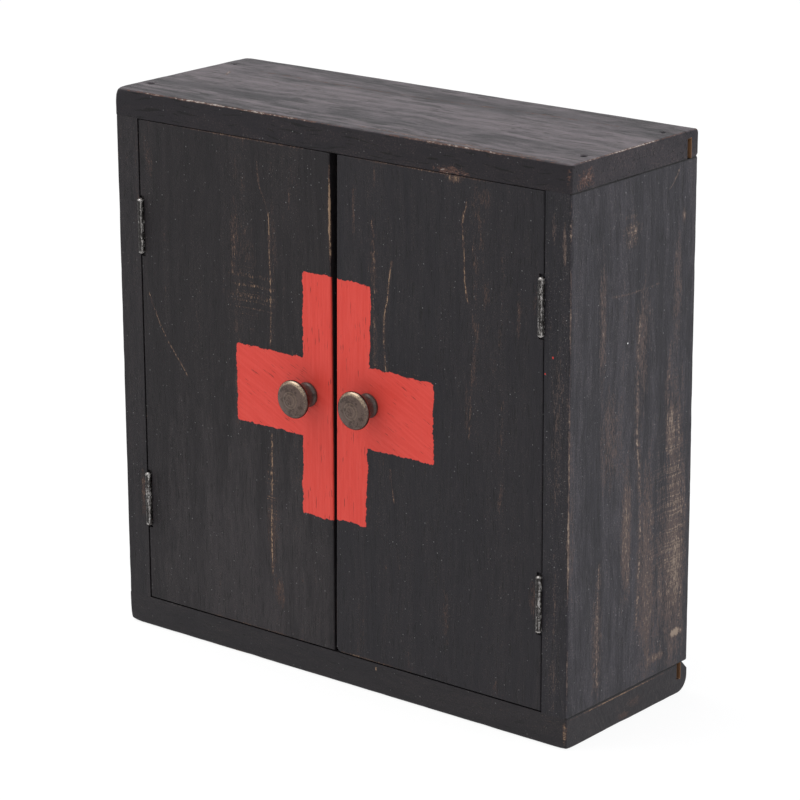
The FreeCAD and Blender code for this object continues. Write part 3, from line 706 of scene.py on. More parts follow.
# Rubs, pale areas and sawn patches are (centre, size, strength). Cracks along the grain and scratches
# across it are (points, width, strength). Drops are (centre, size, tint) and knocks are (corner, reach,
# depth). All places and sizes are in mm.
topBoardLook = plainLook | {
    "grain": (0.03, 0.34, 0.34), "shift": (40, 0, 0), "swirl": 0.025, "rings": 26,
    "along": "X", "across": "Y", "outside": ("Z", 450), "edgeReach": 1.2, "edgeCover": 0.6,
    "fading": 0.04, "relief": 0.10, "stain": 0.15, "chalk": 0.25, "sheen": 0.15, "groove": True,
    # the paint and faded colours are lighter than on the other boards partly to make up for the lower sheen:
    # painted sheen, along with the real fading of the top
    "paint": (0.0170, 0.0149, 0.0180, 1), "faded": (0.122, 0.104, 0.115, 1),
    "wood": (0.092, 0.052, 0.042, 1), "bare": (0.38, 0.34, 0.31, 1),
    "openFace": {"axis": "Z", "fading": 0.9, "bleach": 0.04, "relief": 0.3},
    "worn": ("front", "back", "left", "right", "top"), "joints": ((2, "low"),),
    "knocks": (((-225, -80, 450), 9, 1.3), ((225, -80, 450), 6, 0.6), ((-225, 80, 450), 7, 0.8)),
    "rubs": (
        # the first two rubs paint the pale line along the top front edge: partly worn paint, partly a painted
        # highlight where the edge catches the light
        ((-110, -79.2, 449.2), (190, 1.8, 1.5), 1.12),
        ((130, -79.2, 449.2), (130, 1.8, 1.4), 0.8),
        ((224.6, 0, 449.6), (1.1, 150, 0.9), 1.0),
        ((225, -64, 436), (3, 16, 12), 0.55),
        ((222, -80, 440), (4, 3, 12), 0.6),
        ((116, -80, 430), (26, 4, 5), 0.6),
    ),
    "cracks": (
        (((-72, 10), (-73.5, 120), (-76.5, 216)), 0.8, 0.8),
        (((40, -190), (38, -40), (44, 90), (47, 200)), 1.2, 0.42),
    ),
    "scratches": ((((-188.8, 11.4), (-196.4, 24.7)), 0.7, 1.2),),
    "pale": (((225, 0, 436), (6, 150, 30), 0.08),),
}
bottomBoardLook = plainLook | {
    "grain": alongX, "shift": (-70, 30, 0), "swirl": 0.03, "along": "X", "across": "Y",
    "edgeReach": 1.6, "edgeCover": 0.35, "fading": 0.15, "groove": True,
    "worn": ("front", "back", "left", "right", "bottom"), "joints": ((2, "high"),),
    "knocks": (((-225, -80, 0), 11, 1.0), ((225, -80, 0), 7, 0.6), ((-225, 80, 0), 8, 0.8)),
    "rubs": (
        ((223, -80, 12), (2.4, 3, 13), 0.95),
        ((225, -5, 5), (3, 13, 4), 0.55),
        ((225, -10, 23.2), (1.5, 95, 0.9), 1.1),
        ((225, 10, 12), (3, 16, 7), 0.5),
        ((-110, -79.6, 0.4), (120, 1.6, 1.1), 1.4),
        ((110, -79.6, 0.4), (90, 1.6, 1.1), 0.9),
        ((40, -80, 20.5), (1.0, 2, 3.2), 2.0),
    ),
}
leftSideLook = plainLook | {
    "shift": (0, 11, 90), "across": "Y", "outside": ("X", -225), "edgeCover": 0.4, "fading": 0.2,
    "worn": ("front", "back", "left"), "joints": ((2, "low"), (2, "high")),
    "rubs": (
        ((-225, 30, 180), (4, 24, 120), 0.5),
        ((-225, -30, 320), (4, 10, 60), 0.45),
        ((-206, -80, 118), (5, 3, 34), 0.66),
    ),
    "cracks": (
        (((8, 60), (11, 160), (10, 260)), 1.0, 0.9),
        (((-36, 200), (-33, 300), (-37, 390)), 0.8, 0.7),
    ),
    "sawn": (((-225, 45, 130), (6, 26, 80), 0.6),),
}
rightSideLook = plainLook | {
    "across": "Y", "outside": ("X", 225), "edgeReach": 2.0, "edgeCover": 0.5,
    "fading": 0.15, "stain": 0.35, "chalk": 0.3, "specks": 1.0,
    "openFace": {"axis": "X", "fading": 0.5, "bleach": 0.0, "relief": 0.2},
    "worn": ("front", "back", "right"), "joints": ((2, "low"), (2, "high")),
    "paint": (0.0126, 0.0116, 0.0150, 1), "faded": (0.060, 0.0550, 0.065, 1),
    "wood": (0.084, 0.061, 0.055, 1), "bare": (0.26, 0.20, 0.155, 1),
    "rubs": (
        ((225, 54, 135), (6, 34, 170), 0.80),
        ((225, 60, 110), (6, 14, 75), 0.98),
        ((225, 50, 215), (6, 14, 50), 0.92),
        ((225, 22, 120), (6, 18, 120), 0.62),
        ((225, 62, 53), (6, 13, 6), 1.5),
        ((225, 38, 40), (6, 22, 6), 0.8),
        ((225, -6, 150), (6, 10, 80), 0.72),
        ((225, -42, 75), (6, 9, 70), 0.70),
        ((225, -3, 387), (6, 15, 20), 0.60),
        ((225, 12, 300), (6, 16, 90), 0.50),
        ((225, 56, 330), (6, 9, 70), 0.45),
        ((225, 63, 386), (6, 4, 9), 0.9),
        ((225, -40, 330), (6, 8, 80), 0.55),
        ((225, -30, 230), (6, 22, 60), 0.42),
        ((225, -79.5, 190), (1.5, 1.5, 130), 1.15),
        ((225, -79.5, 60), (1.6, 1.6, 44), 1.1),
        ((225, -79.5, 330), (1.5, 1.5, 70), 1.1),
        ((219, -80, 390), (2.4, 3, 24), 0.75),
        ((209, -80, 400), (3, 3, 18), 0.5),
        ((213, -80, 250), (8, 3, 120), 0.24),
    ),
    "cracks": (
        (((8, 62), (11, 110), (12, 150), (9, 200), (6, 246), (9, 330)), 1.8, 0.85),
        (((-5, 100), (-3, 130), (-7, 165), (-8, 196)), 1.8, 0.7),
        (((-40.5, 30), (-42, 70), (-42, 104), (-40, 140)), 1.6, 0.8),
        (((48, 60), (50, 140), (46, 225), (52, 300)), 2.0, 0.7),
        (((66, 52), (68, 110), (64, 180), (60, 236)), 2.2, 0.8),
        (((42.3, 409), (49.4, 414.6), (55.6, 423.4)), 0.6, 0.9),
    ),
    "scratches": ((((342, -31.5), (339.4, 0), (339.7, 36)), 0.6, 0.5),),
    "pale": (((225, 0, 100), (6, 110, 160), 0.08),),
    "sawn": (((225, 50, 170), (8, 36, 120), 0.6), ((225, -3, 387), (8, 18, 22), 0.85)),
    "drops": (((209.5, -80, 304.4), (1.2, 3, 1.6), "red"), ((202.4, -80, 290.9), (1.1, 3, 1.4), "red"),
              ((225, -7.8, 301.9), (3, 0.9, 1.0), "white")),
}
doorLook = plainLook | {
    "worn": ("front",), "outside": ("Y", -80), "edgeReach": 0.9, "fading": 0.16, "stain": 0.5,
}
leftDoorLook = doorLook | {
    "shift": (25, 0, 40), "edgeCover": 0.45, "paint": (0.0112, 0.0091, 0.0109, 1),
    "rubs": (
        ((-2.4, -80, 384), (2.4, 2.6, 62), 1.8),
        ((-100, -80, 350), (6, 4, 40), 0.40),
        ((-95, -80, 427.2), (120, 4, 1.5), 0.72),
        ((-190, -80, 395), (9, 4, 18), 0.34),
        ((-85, -80, 320), (20, 4, 60), 0.22),
        ((-60, -80, 345), (5, 4, 60), 0.3),
        ((-66, -80, 120), (9, 4, 90), 0.42),
        ((-58, -80, 62), (8, 4, 16), 0.6),
        ((-90, -80, 26), (100, 4, 2), 0.6),
    ),
    "cracks": (
        (((-64.9, 262), (-63.6, 300), (-64.2, 340), (-64.4, 366), (-67, 377)), 0.55, 1.25),
        (((-65.5, 370), (-67, 377), (-74, 394), (-76, 412)), 0.5, 0.62),
        (((-65.8, 72), (-66.4, 110), (-65.2, 150), (-64.6, 182), (-64.2, 198)), 0.75, 1.4),
        (((-152, 222), (-158, 230), (-177, 254), (-188, 274), (-194.5, 290)), 0.5, 1.05),
        (((-100, 326), (-101, 345), (-102, 366)), 1.0, 0.62),
    ),
    "pale": (((-100, -80, 70), (150, 6, 170), 0.40),),
    "sawn": (((-82, -80, 303), (38, 4, 34), 1.0), ((-66, -80, 150), (12, 4, 40), 0.8)),
    "cross": {"side": -1, "edges": {
        "Face": -80, "Corner": 2.5, "Bar Top": 30.5, "Bar Bottom": 33.5, "Arm End": 100.5, "Arm Low": 198,
        "Arm High": 262, "Top": 331, "Bottom": 134}},
}
rightDoorLook = doorLook | {
    "shift": (-60, 0, 10), "edgeCover": 0.4, "paint": (0.0128, 0.0114, 0.0146, 1),
    "rubs": (
        ((118, -80, 425), (11, 4, 5), 0.85),
        ((90, -80, 427.2), (100, 4, 1.5), 0.70),
        ((40, -80, 340), (5, 4, 60), 0.46),
        ((21, -80, 385), (2.5, 4, 28), 0.55),
        ((146, -80, 414), (8, 4, 9), 0.4),
        ((148, -80, 340), (5, 4, 18), 0.46),
        ((178, -80, 330), (4, 4, 40), 0.4),
        ((130, -80, 250), (4, 4, 30), 0.36),
        ((193, -80, 345), (5, 4, 30), 0.34),
        ((192, -80, 114), (6, 4, 24), 0.5),
        ((30, -80, 26), (60, 4, 2.2), 0.8),
        ((0, -80, 90), (1.4, 3, 80), 0.9),
        ((110, -80, 80), (5, 4, 40), 0.4),
    ),
    "cracks": (
        (((54.5, 258), (51, 275), (50.2, 300), (54, 325), (56, 340), (58.8, 356)), 0.65, 1.15),
        (((42, 258), (40.4, 300), (41, 340), (39, 388)), 1.5, 0.6),
        (((133, 330), (128, 348), (127.2, 370), (126, 395), (129, 405), (130, 414)), 0.55, 1.15),
        (((59.4, 160), (57, 175), (55.6, 190)), 0.55, 0.8),
        (((132, 225), (133, 250), (135, 290)), 0.9, 0.55),
    ),
    "sawn": (((75, -80, 268), (22, 4, 7), 0.7),),
    "cross": {"side": 1, "edges": {
        "Face": -80, "Corner": 11, "Bar Top": 38.5, "Bar Bottom": 31, "Arm End": 98, "Arm Low": 200,
        "Arm High": 265, "Top": 330.5, "Bottom": 136}},
}

# the axis of each face, and 0 or 1 for its low or high end
faceSides = {
    "left": (0, 0), "right": (0, 1), "front": (1, 0), "back": (1, 1), "bottom": (2, 0), "top": (2, 1),
}


def wearPush(spot, faces, joints, shape):
    # how far a spot sinks in from the faces that it lies near, most on a joint's line at the ends
    def rough(name):
        return noise.noise(spot * shape[name + "Scale"])

    close = sorted(abs(spot[axis] - level) for axis, _, level in faces)
    edge = close[1] if len(close) > 1 else farAway
    knock = max(0.0, rough("chip") - shape["chipLeast"])
    knock += shape["nickShare"] * max(0.0, rough("nick") - shape["nickLeast"])
    chip = shape["chip"] * mm * knock * max(0.0, 1 - edge / (shape["chipReach"] * mm))
    depth = chip + sum(shape[name] * mm * (0.5 + 0.5 * rough(name)) for name in ("wave", "ripple"))
    opened = 0.0
    if any(abs(spot[axis] - level) < shape["jointNear"] * mm for axis, level in joints):
        opened = shape["jointDepth"] * mm * (shape["jointLeast"] + shape["jointSpread"] * rough("joint"))
    push = Vector()
    for axis, end, level in faces:
        weight = max(0.0, 1 - abs(spot[axis] - level) / (shape["faceReach"] * mm))
        sunk = depth + opened if axis == 0 else depth
        push[axis] += (-1 if end else 1) * sunk * weight
    return push


def knockPush(spot, middle, knocks, shape):
    # corners that were knocked off lean in towards the board's middle
    push = Vector()
    for corner, reach, depth in knocks:
        start = Vector(metres(corner))
        near = max(0.0, 1 - (spot - start).length / (reach * mm))
        way = Vector(math.copysign(1, middle[axis] - start[axis]) for axis in range(3))
        push += way * (depth * mm * near ** shape["knockCurve"])
    return push


def cutAt(mesh, axis, level):
    normal = axisVector(axis)
    geometry = mesh.verts[:] + mesh.edges[:] + mesh.faces[:]
    bmesh.ops.bisect_plane(mesh, geom=geometry, plane_co=normal * level, plane_no=normal)


def cutToCells(mesh, low, high, cell, edge):
    # even cells, and one cut beside each edge so that the faces stay flat up to the rounding
    for axis in range(3):
        cutAt(mesh, axis, low[axis] + edge)
        cutAt(mesh, axis, high[axis] - edge)
        count = max(1, round((high[axis] - low[axis]) / cell))
        for step in range(1, count):
            cutAt(mesh, axis, low[axis] + (high[axis] - low[axis]) * step / count)


def newPiece(name, mesh, material):
    data = bpy.data.meshes.new(name)
    mesh.to_mesh(data)
    mesh.free()
    piece = bpy.data.objects.new(name, data)
    bpy.context.scene.collection.objects.link(piece)
    data.materials.append(material)
    return piece


def standIn(piece, node):
    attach(piece, bodyOf[node])
    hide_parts(node)


def smoothPiece(piece, sharp):
    piece.data.shade_smooth()
    piece.data.set_sharp_from_angle(angle=math.radians(sharp))


def wornBoard(node, look, shape):
    low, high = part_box(node)
    mesh = bmesh.new()
    mesh.from_mesh(nodes[node].data)
    bmesh.ops.remove_doubles(mesh, verts=mesh.verts, dist=cadWeld)
    flat = math.radians(shape["flat"])
    bmesh.ops.dissolve_limit(mesh, angle_limit=flat, verts=mesh.verts, edges=mesh.edges)
    cutToCells(mesh, low, high, shape["cell"] * mm, shape["edgeCut"] * mm)
    joints = [(axis, high[axis] if end == "high" else low[axis]) for axis, end in look["joints"]]
    for axis, level in joints:
        inward = math.copysign(shape["jointWidth"] * mm, (low[axis] + high[axis]) / 2 - level)
        cutAt(mesh, axis, level + inward)
    faces = []
    for side in look["worn"]:
        axis, end = faceSides[side]
        faces.append((axis, end, (low, high)[end][axis]))
    for vert in mesh.verts:
        spot = vert.co.copy()
        vert.co += wearPush(spot, faces, joints, shape)
        vert.co += knockPush(spot, (low + high) / 2, look["knocks"], shape)
    bmesh.ops.triangulate(mesh, faces=[face for face in mesh.faces if len(face.verts) > 4])
    outer = (low, high) if node.endswith("door_panel") else carcassBox
    look = look | {"seams": [level for _, level in joints]}
    piece = newPiece("worn_" + node, mesh, boardMaterial(node + "_paint", look, *outer))
    for name in ("custom_normal", "sharp_face", "sharp_edge"):
        attribute = piece.data.attributes.get(name)
        if attribute:
            piece.data.attributes.remove(attribute)
    smoothPiece(piece, shape["sharp"])
    standIn(piece, node)


carcassBox = (Vector((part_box("left_side")[0].x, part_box("top_board")[0].y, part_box("bottom_board")[0].z)),
              Vector((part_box("right_side")[1].x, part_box("top_board")[1].y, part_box("top_board")[1].z)))
boardLooks = {
    "top_board": topBoardLook, "bottom_board": bottomBoardLook, "left_side": leftSideLook,
    "right_side": rightSideLook, "left_door_panel": leftDoorLook, "right_door_panel": rightDoorLook,
}
for node, look in boardLooks.items():
    wornBoard(node, look, boardShape)
print("boards worn:", len(boardLooks))


# Inside boards keep their CAD shape

shelfLook = plainLook | {"grain": alongX, "along": "X", "across": "Y", "fading": 1.0, "edgeCover": 0.8}
panelLook = plainLook | {"grain": alongZ, "shift": (0, 200, 0), "fading": 1.0, "edgeCover": 0.3}
cleatLook = plainLook | {"grain": alongY, "along": "Y", "across": "Z", "fading": 0.9, "edgeCover": 0.9}
insideLooks = {
    "upper_shelf": shelfLook, "lower_shelf": shelfLook | {"shift": (90, 40, 0)}, "back_panel": panelLook,
    "upper_left_cleat": cleatLook, "upper_right_cleat": cleatLook,
    "lower_left_cleat": cleatLook, "lower_right_cleat": cleatLook,
}


def dress(node, material):
    nodes[node].data.materials.clear()
    nodes[node].data.materials.append(material)


for node, look in insideLooks.items():
    dress(node, boardMaterial(node + "_paint", look, *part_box(node)))
print("inside boards:", len(insideLooks))


# Hinges: worn steel with paint and rust left on it

hingeFinish = {
    "steel": (0.70, 0.68, 0.66, 1), "dull": (0.10, 0.085, 0.080, 1), "dullStep": (0.35, 0.65),
    "paint": (0.016, 0.0138, 0.0132, 1), "paintScale": 560, "paintCover": 0.72, "drawn": (1, 1, 0.2),
    "rust": (0.060, 0.036, 0.028, 1), "rustScale": 700, "rustCover": 0.45, "rustShift": (3.1, 1.7, 0.9),
    "rustShare": 0.8, "edgeReach": 1.6, "edgeCover": 1.2, "rough": 0.25, "roughSpread": 0.3,
    "coatRise": 0.6, "mottleRise": 0.5, "pitDepth": 0.25,
}
pinFinish = hingeFinish | {"paintCover": 0.3}


def steelMaterial(name, finish, box=None):
    # in a given box, the paint is off the steel along the box's edges
    material, shader, place = newMaterial(name)

    def patches(kind, vector):
        return useGroup("patina", {
            "Vector": vector, "Scale": finish[kind + "Scale"], "Cover": finish[kind + "Cover"]})

    coat = patches("paint", calcVector("MULTIPLY", place, finish["drawn"]))["Blotch"]
    rust = patches("rust", calcVector("ADD", place, finish["rustShift"]))
    rusty = times(rust["Blotch"], finish["rustShare"])
    metal = blend(fade(rust["Mottle"], *finish["dullStep"]), finish["steel"], finish["dull"])
    colour = blend(rusty, metal, finish["rust"])
    if box:
        edge = useGroup("edgeWear", {
            "Vector": place, "Low": box[0], "High": box[1], "Reach": finish["edgeReach"] * mm,
            "Cover": finish["edgeCover"]})["Edge"]
        coat = times(coat, minus(1, edge))
    colour = blend(coat, colour, finish["paint"])
    plug(colour, shader.inputs["Base Color"])
    plug(minus(1, larger(coat, rusty)), shader.inputs["Metallic"])
    rough = timesPlus(rust["Mottle"], finish["roughSpread"], finish["rough"])
    plug(rough, shader.inputs["Roughness"])
    height = timesPlus(coat, finish["coatRise"], times(rust["Mottle"], finish["mottleRise"]))
    addBump(shader, height, finish["pitDepth"])
    shader.inputs["Specular IOR Level"].default_value = paintFinish["sheen"]
    return material


pinSteel = steelMaterial("worn_pin_steel", pinFinish)
for node in nodes:
    if slotOf[node] == "hinge_steel":
        leaf = not node.endswith("pin")
        dress(node, steelMaterial(node + "_steel", hingeFinish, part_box(node)) if leaf else pinSteel)
print("hinges dressed")


# Knobs: turned brass, browned, bright where fingers rub the rim, with a painted highlight on the top of the
# rim and painted shade on the neck

knobShape = {
    "segments": 32, "smoothing": 2,
    "profile": (
        (0, 0), (9.9, 0), (10, 0.3), (10, 1.6), (9.6, 2.4), (8.8, 3.6), (8.3, 5.4), (8.3, 7.6), (8.9, 9.6),
        (9.8, 11.2), (11.2, 12.4), (12.8, 13.3), (13.4, 13.9), (13.2, 14.5), (13.4, 14.9), (14.3, 15.2),
        (15.1, 15.9), (15.5, 17.0), (15.2, 18.2), (14.3, 19.4), (12.8, 20.3), (10.6, 20.9),
        (8.6, 21.2), (7.9, 21.15), (7.4, 20.95), (6.9, 21.2), (6.3, 21.5), (5.2, 21.6), (4.8, 21.55),
        (4.5, 21.4), (4.2, 21.6), (3.8, 21.75), (1.6, 21.95), (1.0, 21.9), (0.5, 21.6), (0, 21.6),
    ),
}
knobFinish = {
    "brown": (0.118, 0.086, 0.074, 1), "dark": (0.026, 0.020, 0.018, 1), "darkShare": 0.55,
    "bright": (0.40, 0.31, 0.22, 1), "brightShare": 0.85, "scale": 210, "cover": 0.5,
    # rim, side and top shape the bright band on the rim: rubbed brass and a painted highlight, strongest on
    # the top
    "rim": (11.0, 13.4), "side": (15.5, 14.6), "top": (0, 13), "rimGain": 0.25, "topHighlightGain": 0.24,
    "mottleGain": 0.9, "brightStep": (0.72, 1.0), "rings": (4.0, 6.4), "ringWidth": 0.6, "ringGain": 0.4,
    # the neck values paint shade on the neck under the head, darker and less metallic
    "neck": (16.0, 12.5), "neckShade": 0.6, "neckDull": 0.8, "rough": 0.16, "roughSpread": 0.3,
    "turned": (1500, 2, 0.6), "turnedRise": 0.4, "pitDepth": 0.12,
}


def brassMaterial(name, finish):
    # in the knob's own place, where Z is its axis and Y is up
    material, shader, place = newMaterial(name)
    x, y, z = split(place)
    radius = calc("SQRT", timesPlus(x, x, times(y, y)))
    tarnish = useGroup("patina", {"Vector": place, "Scale": finish["scale"], "Cover": finish["cover"]})
    mottle = tarnish["Mottle"]
    rim = times(fade(radius, *metres(finish["rim"])), fade(radius, *metres(finish["side"])))
    # Bright brass on the rim is partly rubbed brass and partly a painted highlight; the top of the rim is
    # painted brightest, where the overhead light would shine
    rimWearAndHighlight = timesPlus(fade(y, *metres(finish["top"])), finish["topHighlightGain"], finish["rimGain"])
    brassWearAndHighlight = timesPlus(mottle, finish["mottleGain"], times(rim, rimWearAndHighlight))
    rubbed = fade(brassWearAndHighlight, *finish["brightStep"])
    for line in finish["rings"]:
        ridge = fade(gap(radius, line * mm), finish["ringWidth"] * mm, 0)
        ridge = times(ridge, finish["ringGain"])
        rubbed = larger(rubbed, times(ridge, mottle))
    darkened = times(tarnish["Blotch"], finish["darkShare"])
    colour = blend(darkened, finish["brown"], finish["dark"])
    colour = blend(times(rubbed, finish["brightShare"]), colour, finish["bright"])
    # painted shade: the neck under the head is painted darker and made less metallic
    shadedNeck = fade(z, *metres(finish["neck"]))
    colour = blend(times(shadedNeck, finish["neckShade"]), colour, finish["dark"])
    plug(colour, shader.inputs["Base Color"])
    plug(timesPlus(shadedNeck, -finish["neckDull"], 1), shader.inputs["Metallic"])
    rough = timesPlus(mottle, finish["roughSpread"], finish["rough"])
    plug(rough, shader.inputs["Roughness"])
    ring = addNode("ShaderNodeCombineXYZ", {"X": radius, "Y": z}).outputs[0]
    turned = cloud(ring, *finish["turned"])
    addBump(shader, timesPlus(turned, finish["turnedRise"], mottle), finish["pitDepth"])
    return material


def turnOnLathe(mesh, profile, segments, place):
    # turns a profile of (radius, height) in mm about the Z axis of the given place
    rings = []
    for radius, height in profile:
        turns = [2 * math.pi * step / segments for step in range(segments)] if radius else [0]
        spots = [Vector((radius * math.cos(turn), radius * math.sin(turn), height)) * mm for turn in turns]
        rings.append([mesh.verts.new(place @ spot) for spot in spots])
    for inner, outer in zip(rings, rings[1:]):
        for step in range(segments):
            following = (step + 1) % segments
            corners = [inner[step % len(inner)], inner[following % len(inner)],
                       outer[following % len(outer)], outer[step % len(outer)]]
            mesh.faces.new(list(dict.fromkeys(corners)))


def turnedKnob(node, shape, material):
    low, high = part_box(node)
    mesh = bmesh.new()
    turnOnLathe(mesh, shape["profile"], shape["segments"], Matrix())
    bmesh.ops.recalc_face_normals(mesh, faces=mesh.faces)
    piece = newPiece("turned_" + node, mesh, material)
    piece.data.shade_smooth()
    rounded = piece.modifiers.new("rounded", "SUBSURF")
    rounded.levels = rounded.render_levels = shape["smoothing"]
    piece.location = ((low.x + high.x) / 2, high.y, (low.z + high.z) / 2)
    piece.rotation_euler = (math.radians(90), 0, 0)
    standIn(piece, node)


agedBrass = brassMaterial("aged_brass", knobFinish)
for node in ("left_knob", "right_knob"):
    turnedKnob(node, knobShape, agedBrass)
print("knobs turned")


# Screws: slotted heads on the CAD screws' places

# The slot and headDepth are shares of the rim's radius, and shank and panDepth of the head's greatest
# radius. The pan head's rings are shares of that radius and of its depth. The tip and its point are
# shares of the shank's radius, and endShare is one of the screw's length.
screwShape = {
    "segments": 24, "slotWidth": 0.24, "slotDepth": 0.29, "headDepth": 0.42, "shank": 0.48,
    "panDepth": 0.6, "panRings": ((0.9, 0.2), (1, 0.5), (1, 1)), "tip": 2.2, "point": 0.1,
    "endShare": 0.02, "turn": 3, "turnScale": 90, "sharp": 35, "weld": 1e-7,
}
screwFinish = hingeFinish | {
    "steel": (0.30, 0.29, 0.27, 1), "rustCover": 0.4,
    "paintScale": 300, "paintCover": 0.2, "drawn": (1, 1, 1),
}
paintedScrewFinish = screwFinish | {"paintCover": 0.95}


def looseParts(node):
    # the corners of each of a node's solids
    mesh = bmesh.new()
    mesh.from_mesh(nodes[node].data)
    bmesh.ops.remove_doubles(mesh, verts=mesh.verts, dist=cadWeld)
    seen = set()
    for first in mesh.verts:
        part, wave = [], [first]
        while wave:
            vert = wave.pop()
            if vert not in seen:
                seen.add(vert)
                part.append(vert.co.copy())
                wave += [edge.other_vert(vert) for edge in vert.link_edges]
        if part:
            yield part
    mesh.free()


def readScrew(part):
    # the head's middle, the way that it looks, and its radii and length
    low = Vector(min(spot[axis] for spot in part) for axis in range(3))
    high = Vector(max(spot[axis] for spot in part) for axis in range(3))
    axis = max(range(3), key=lambda way: high[way] - low[way])
    middle = (low + high) / 2
    length = high[axis] - low[axis]
    near = screwShape["endShare"] * length

    def reach(spots):
        offsets = ([spot[way] - middle[way] for way in range(3) if way != axis] for spot in spots)
        return max(Vector(offset).length for offset in offsets)

    lowEnd = reach([spot for spot in part if spot[axis] < low[axis] + near])
    highEnd = reach([spot for spot in part if spot[axis] > high[axis] - near])
    way = axisVector(axis) * (1 if highEnd > lowEnd else -1)
    return middle + way * (length / 2), way, max(lowEnd, highEnd), reach(part), length


def slottedScrew(mesh, place, rings, slotWidth, slotDepth, segments):
    # rings are (radius, depth) from the rim of the head down to the tip
    rim = rings[0][0]
    corner = math.asin(slotWidth / 2 / rim)
    arc = [corner + (math.pi - 2 * corner) * step / (segments // 2 - 2) for step in range(segments // 2 - 1)]
    turns = [(turn, 0) for turn in arc] + [(math.pi - corner, 1), (math.pi + corner, 1)]
    turns += [(turn + math.pi, 0) for turn in arc] + [(-corner, 1), (corner, 1)]

    def spot(radius, turn, depth):
        return mesh.verts.new(place @ Vector((radius * math.cos(turn), radius * math.sin(turn), -depth)))

    top = [spot(rim, turn, slotDepth if sunk else 0) for turn, sunk in turns]
    half = len(arc)
    mesh.faces.new(top[:half])
    mesh.faces.new(top[half + 2:2 * half + 2])
    mesh.faces.new((top[half], top[half + 1], top[2 * half + 2], top[2 * half + 3]))
    mesh.faces.new((top[half - 1], top[0], top[2 * half + 3], top[half]))
    mesh.faces.new((top[2 * half + 1], top[half + 2], top[half + 1], top[2 * half + 2]))
    above = top
    for radius, depth in rings[1:]:
        below = [spot(radius, turn, depth) for turn, _ in turns]
        for step in range(len(turns)):
            following = (step + 1) % len(turns)
            mesh.faces.new((above[step], above[following], below[following], below[step]))
        above = below
    mesh.faces.new(above)


def slottedScrews(node, panHead, shape, material):
    mesh = bmesh.new()
    for part in looseParts(node):
        end, way, rim, widest, length = readScrew(part)
        across = axisVector(0 if way.z else 2)
        tilt = Matrix.Rotation(noise.noise(end * shape["turnScale"]) * shape["turn"], 4, "Z")
        axes = Matrix((across, way.cross(across), way)).transposed().to_4x4()
        place = Matrix.Translation(end) @ axes @ tilt
        shank = shape["shank"] * widest
        rings = [(rim, 0)]
        if panHead:
            head = shape["panDepth"] * widest
            rings += [(width * widest, depth * head) for width, depth in shape["panRings"]]
        else:
            head = shape["headDepth"] * rim
        rings += [(shank, head), (shank, length - shape["tip"] * shank), (shape["point"] * shank, length)]
        slotWidth, slotDepth = shape["slotWidth"] * rim, shape["slotDepth"] * rim
        slottedScrew(mesh, place, rings, slotWidth, slotDepth, shape["segments"])
    bmesh.ops.remove_doubles(mesh, verts=mesh.verts, dist=shape["weld"])
    bmesh.ops.recalc_face_normals(mesh, faces=mesh.faces)
    piece = newPiece("slotted_" + node, mesh, material)
    smoothPiece(piece, shape["sharp"])
    standIn(piece, node)


dullSteel = steelMaterial("dull_screw_steel", screwFinish)
paintedSteel = steelMaterial("painted_screw_steel", paintedScrewFinish)
for node in nodes:
    if slotOf[node] != "screw_steel":
        continue
    if node.endswith("nails"):
        dress(node, dullSteel)
    else:
        painted = node in ("top_screws", "bottom_screws")
        panHead = node.endswith("knob_screw")
        slottedScrews(node, panHead, screwShape, paintedSteel if painted else dullSteel)
print("screws slotted")


# Old paint that has filled the recesses over the top screws, more at the back than at the front

recessShape = {
    "segments": 28, "front": ((4.2, 1.75), (3.3, 1.62), (2.7, 1.2), (2.4, 0.3), (2.3, 0)),
    "back": ((4.2, 1.75), (3.0, 1.66), (2.0, 1.5), (1.5, 1.15), (1.2, 0.4), (1.1, 0)),
}


def filledRecesses(node, shape, material):
    mesh = bmesh.new()
    for part in looseParts(node):
        end = readScrew(part)[0]
        profile = shape["front"] if end.y < 0 else shape["back"]
        turnOnLathe(mesh, profile, shape["segments"], Matrix.Translation(end))
    bmesh.ops.recalc_face_normals(mesh, faces=mesh.faces)
    piece = newPiece("recess_paint", mesh, material)
    piece.data.shade_smooth()
    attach(piece, bodyOf[node])


recessPaint = boardMaterial("recess_paint", topBoardLook | {"joints": ()}, *carcassBox)
filledRecesses("top_screws", recessShape, recessPaint)
print("screw recesses filled")


# Catches and keepers

catchMarks = {"scale": 240, "cover": 0.5, "roughSpread": 0.2, "pitDepth": 0.05}
catchFinish = {
    "catch_plastic": {
        "first": (0.050, 0.028, 0.017, 1), "second": (0.034, 0.019, 0.012, 1), "metal": 0.0, "rough": 0.42},
    "magnet": {
        "first": (0.055, 0.054, 0.053, 1), "second": (0.030, 0.029, 0.029, 1), "metal": 0.2, "rough": 0.55},
    "keeper_steel": {
        "first": (0.30, 0.29, 0.28, 1), "second": (0.16, 0.15, 0.145, 1), "metal": 1.0, "rough": 0.42},
}


def fittingMaterial(name, finish, look):
    material, shader, place = newMaterial(name)
    marks = useGroup("patina", {"Vector": place, "Scale": look["scale"], "Cover": look["cover"]})
    plug(blend(marks["Blotch"], finish["first"], finish["second"]), shader.inputs["Base Color"])
    shader.inputs["Metallic"].default_value = finish["metal"]
    spread = look["roughSpread"]
    rough = timesPlus(marks["Mottle"], spread, finish["rough"] - spread / 2)
    plug(rough, shader.inputs["Roughness"])
    addBump(shader, marks["Mottle"], look["pitDepth"])
    return material


for slot, finish in catchFinish.items():
    material = fittingMaterial(slot + "_finish", finish, catchMarks)
    for node in nodes:
        if slotOf[node] == slot:
            dress(node, material)
print("catches dressed")


# Floor, light and background

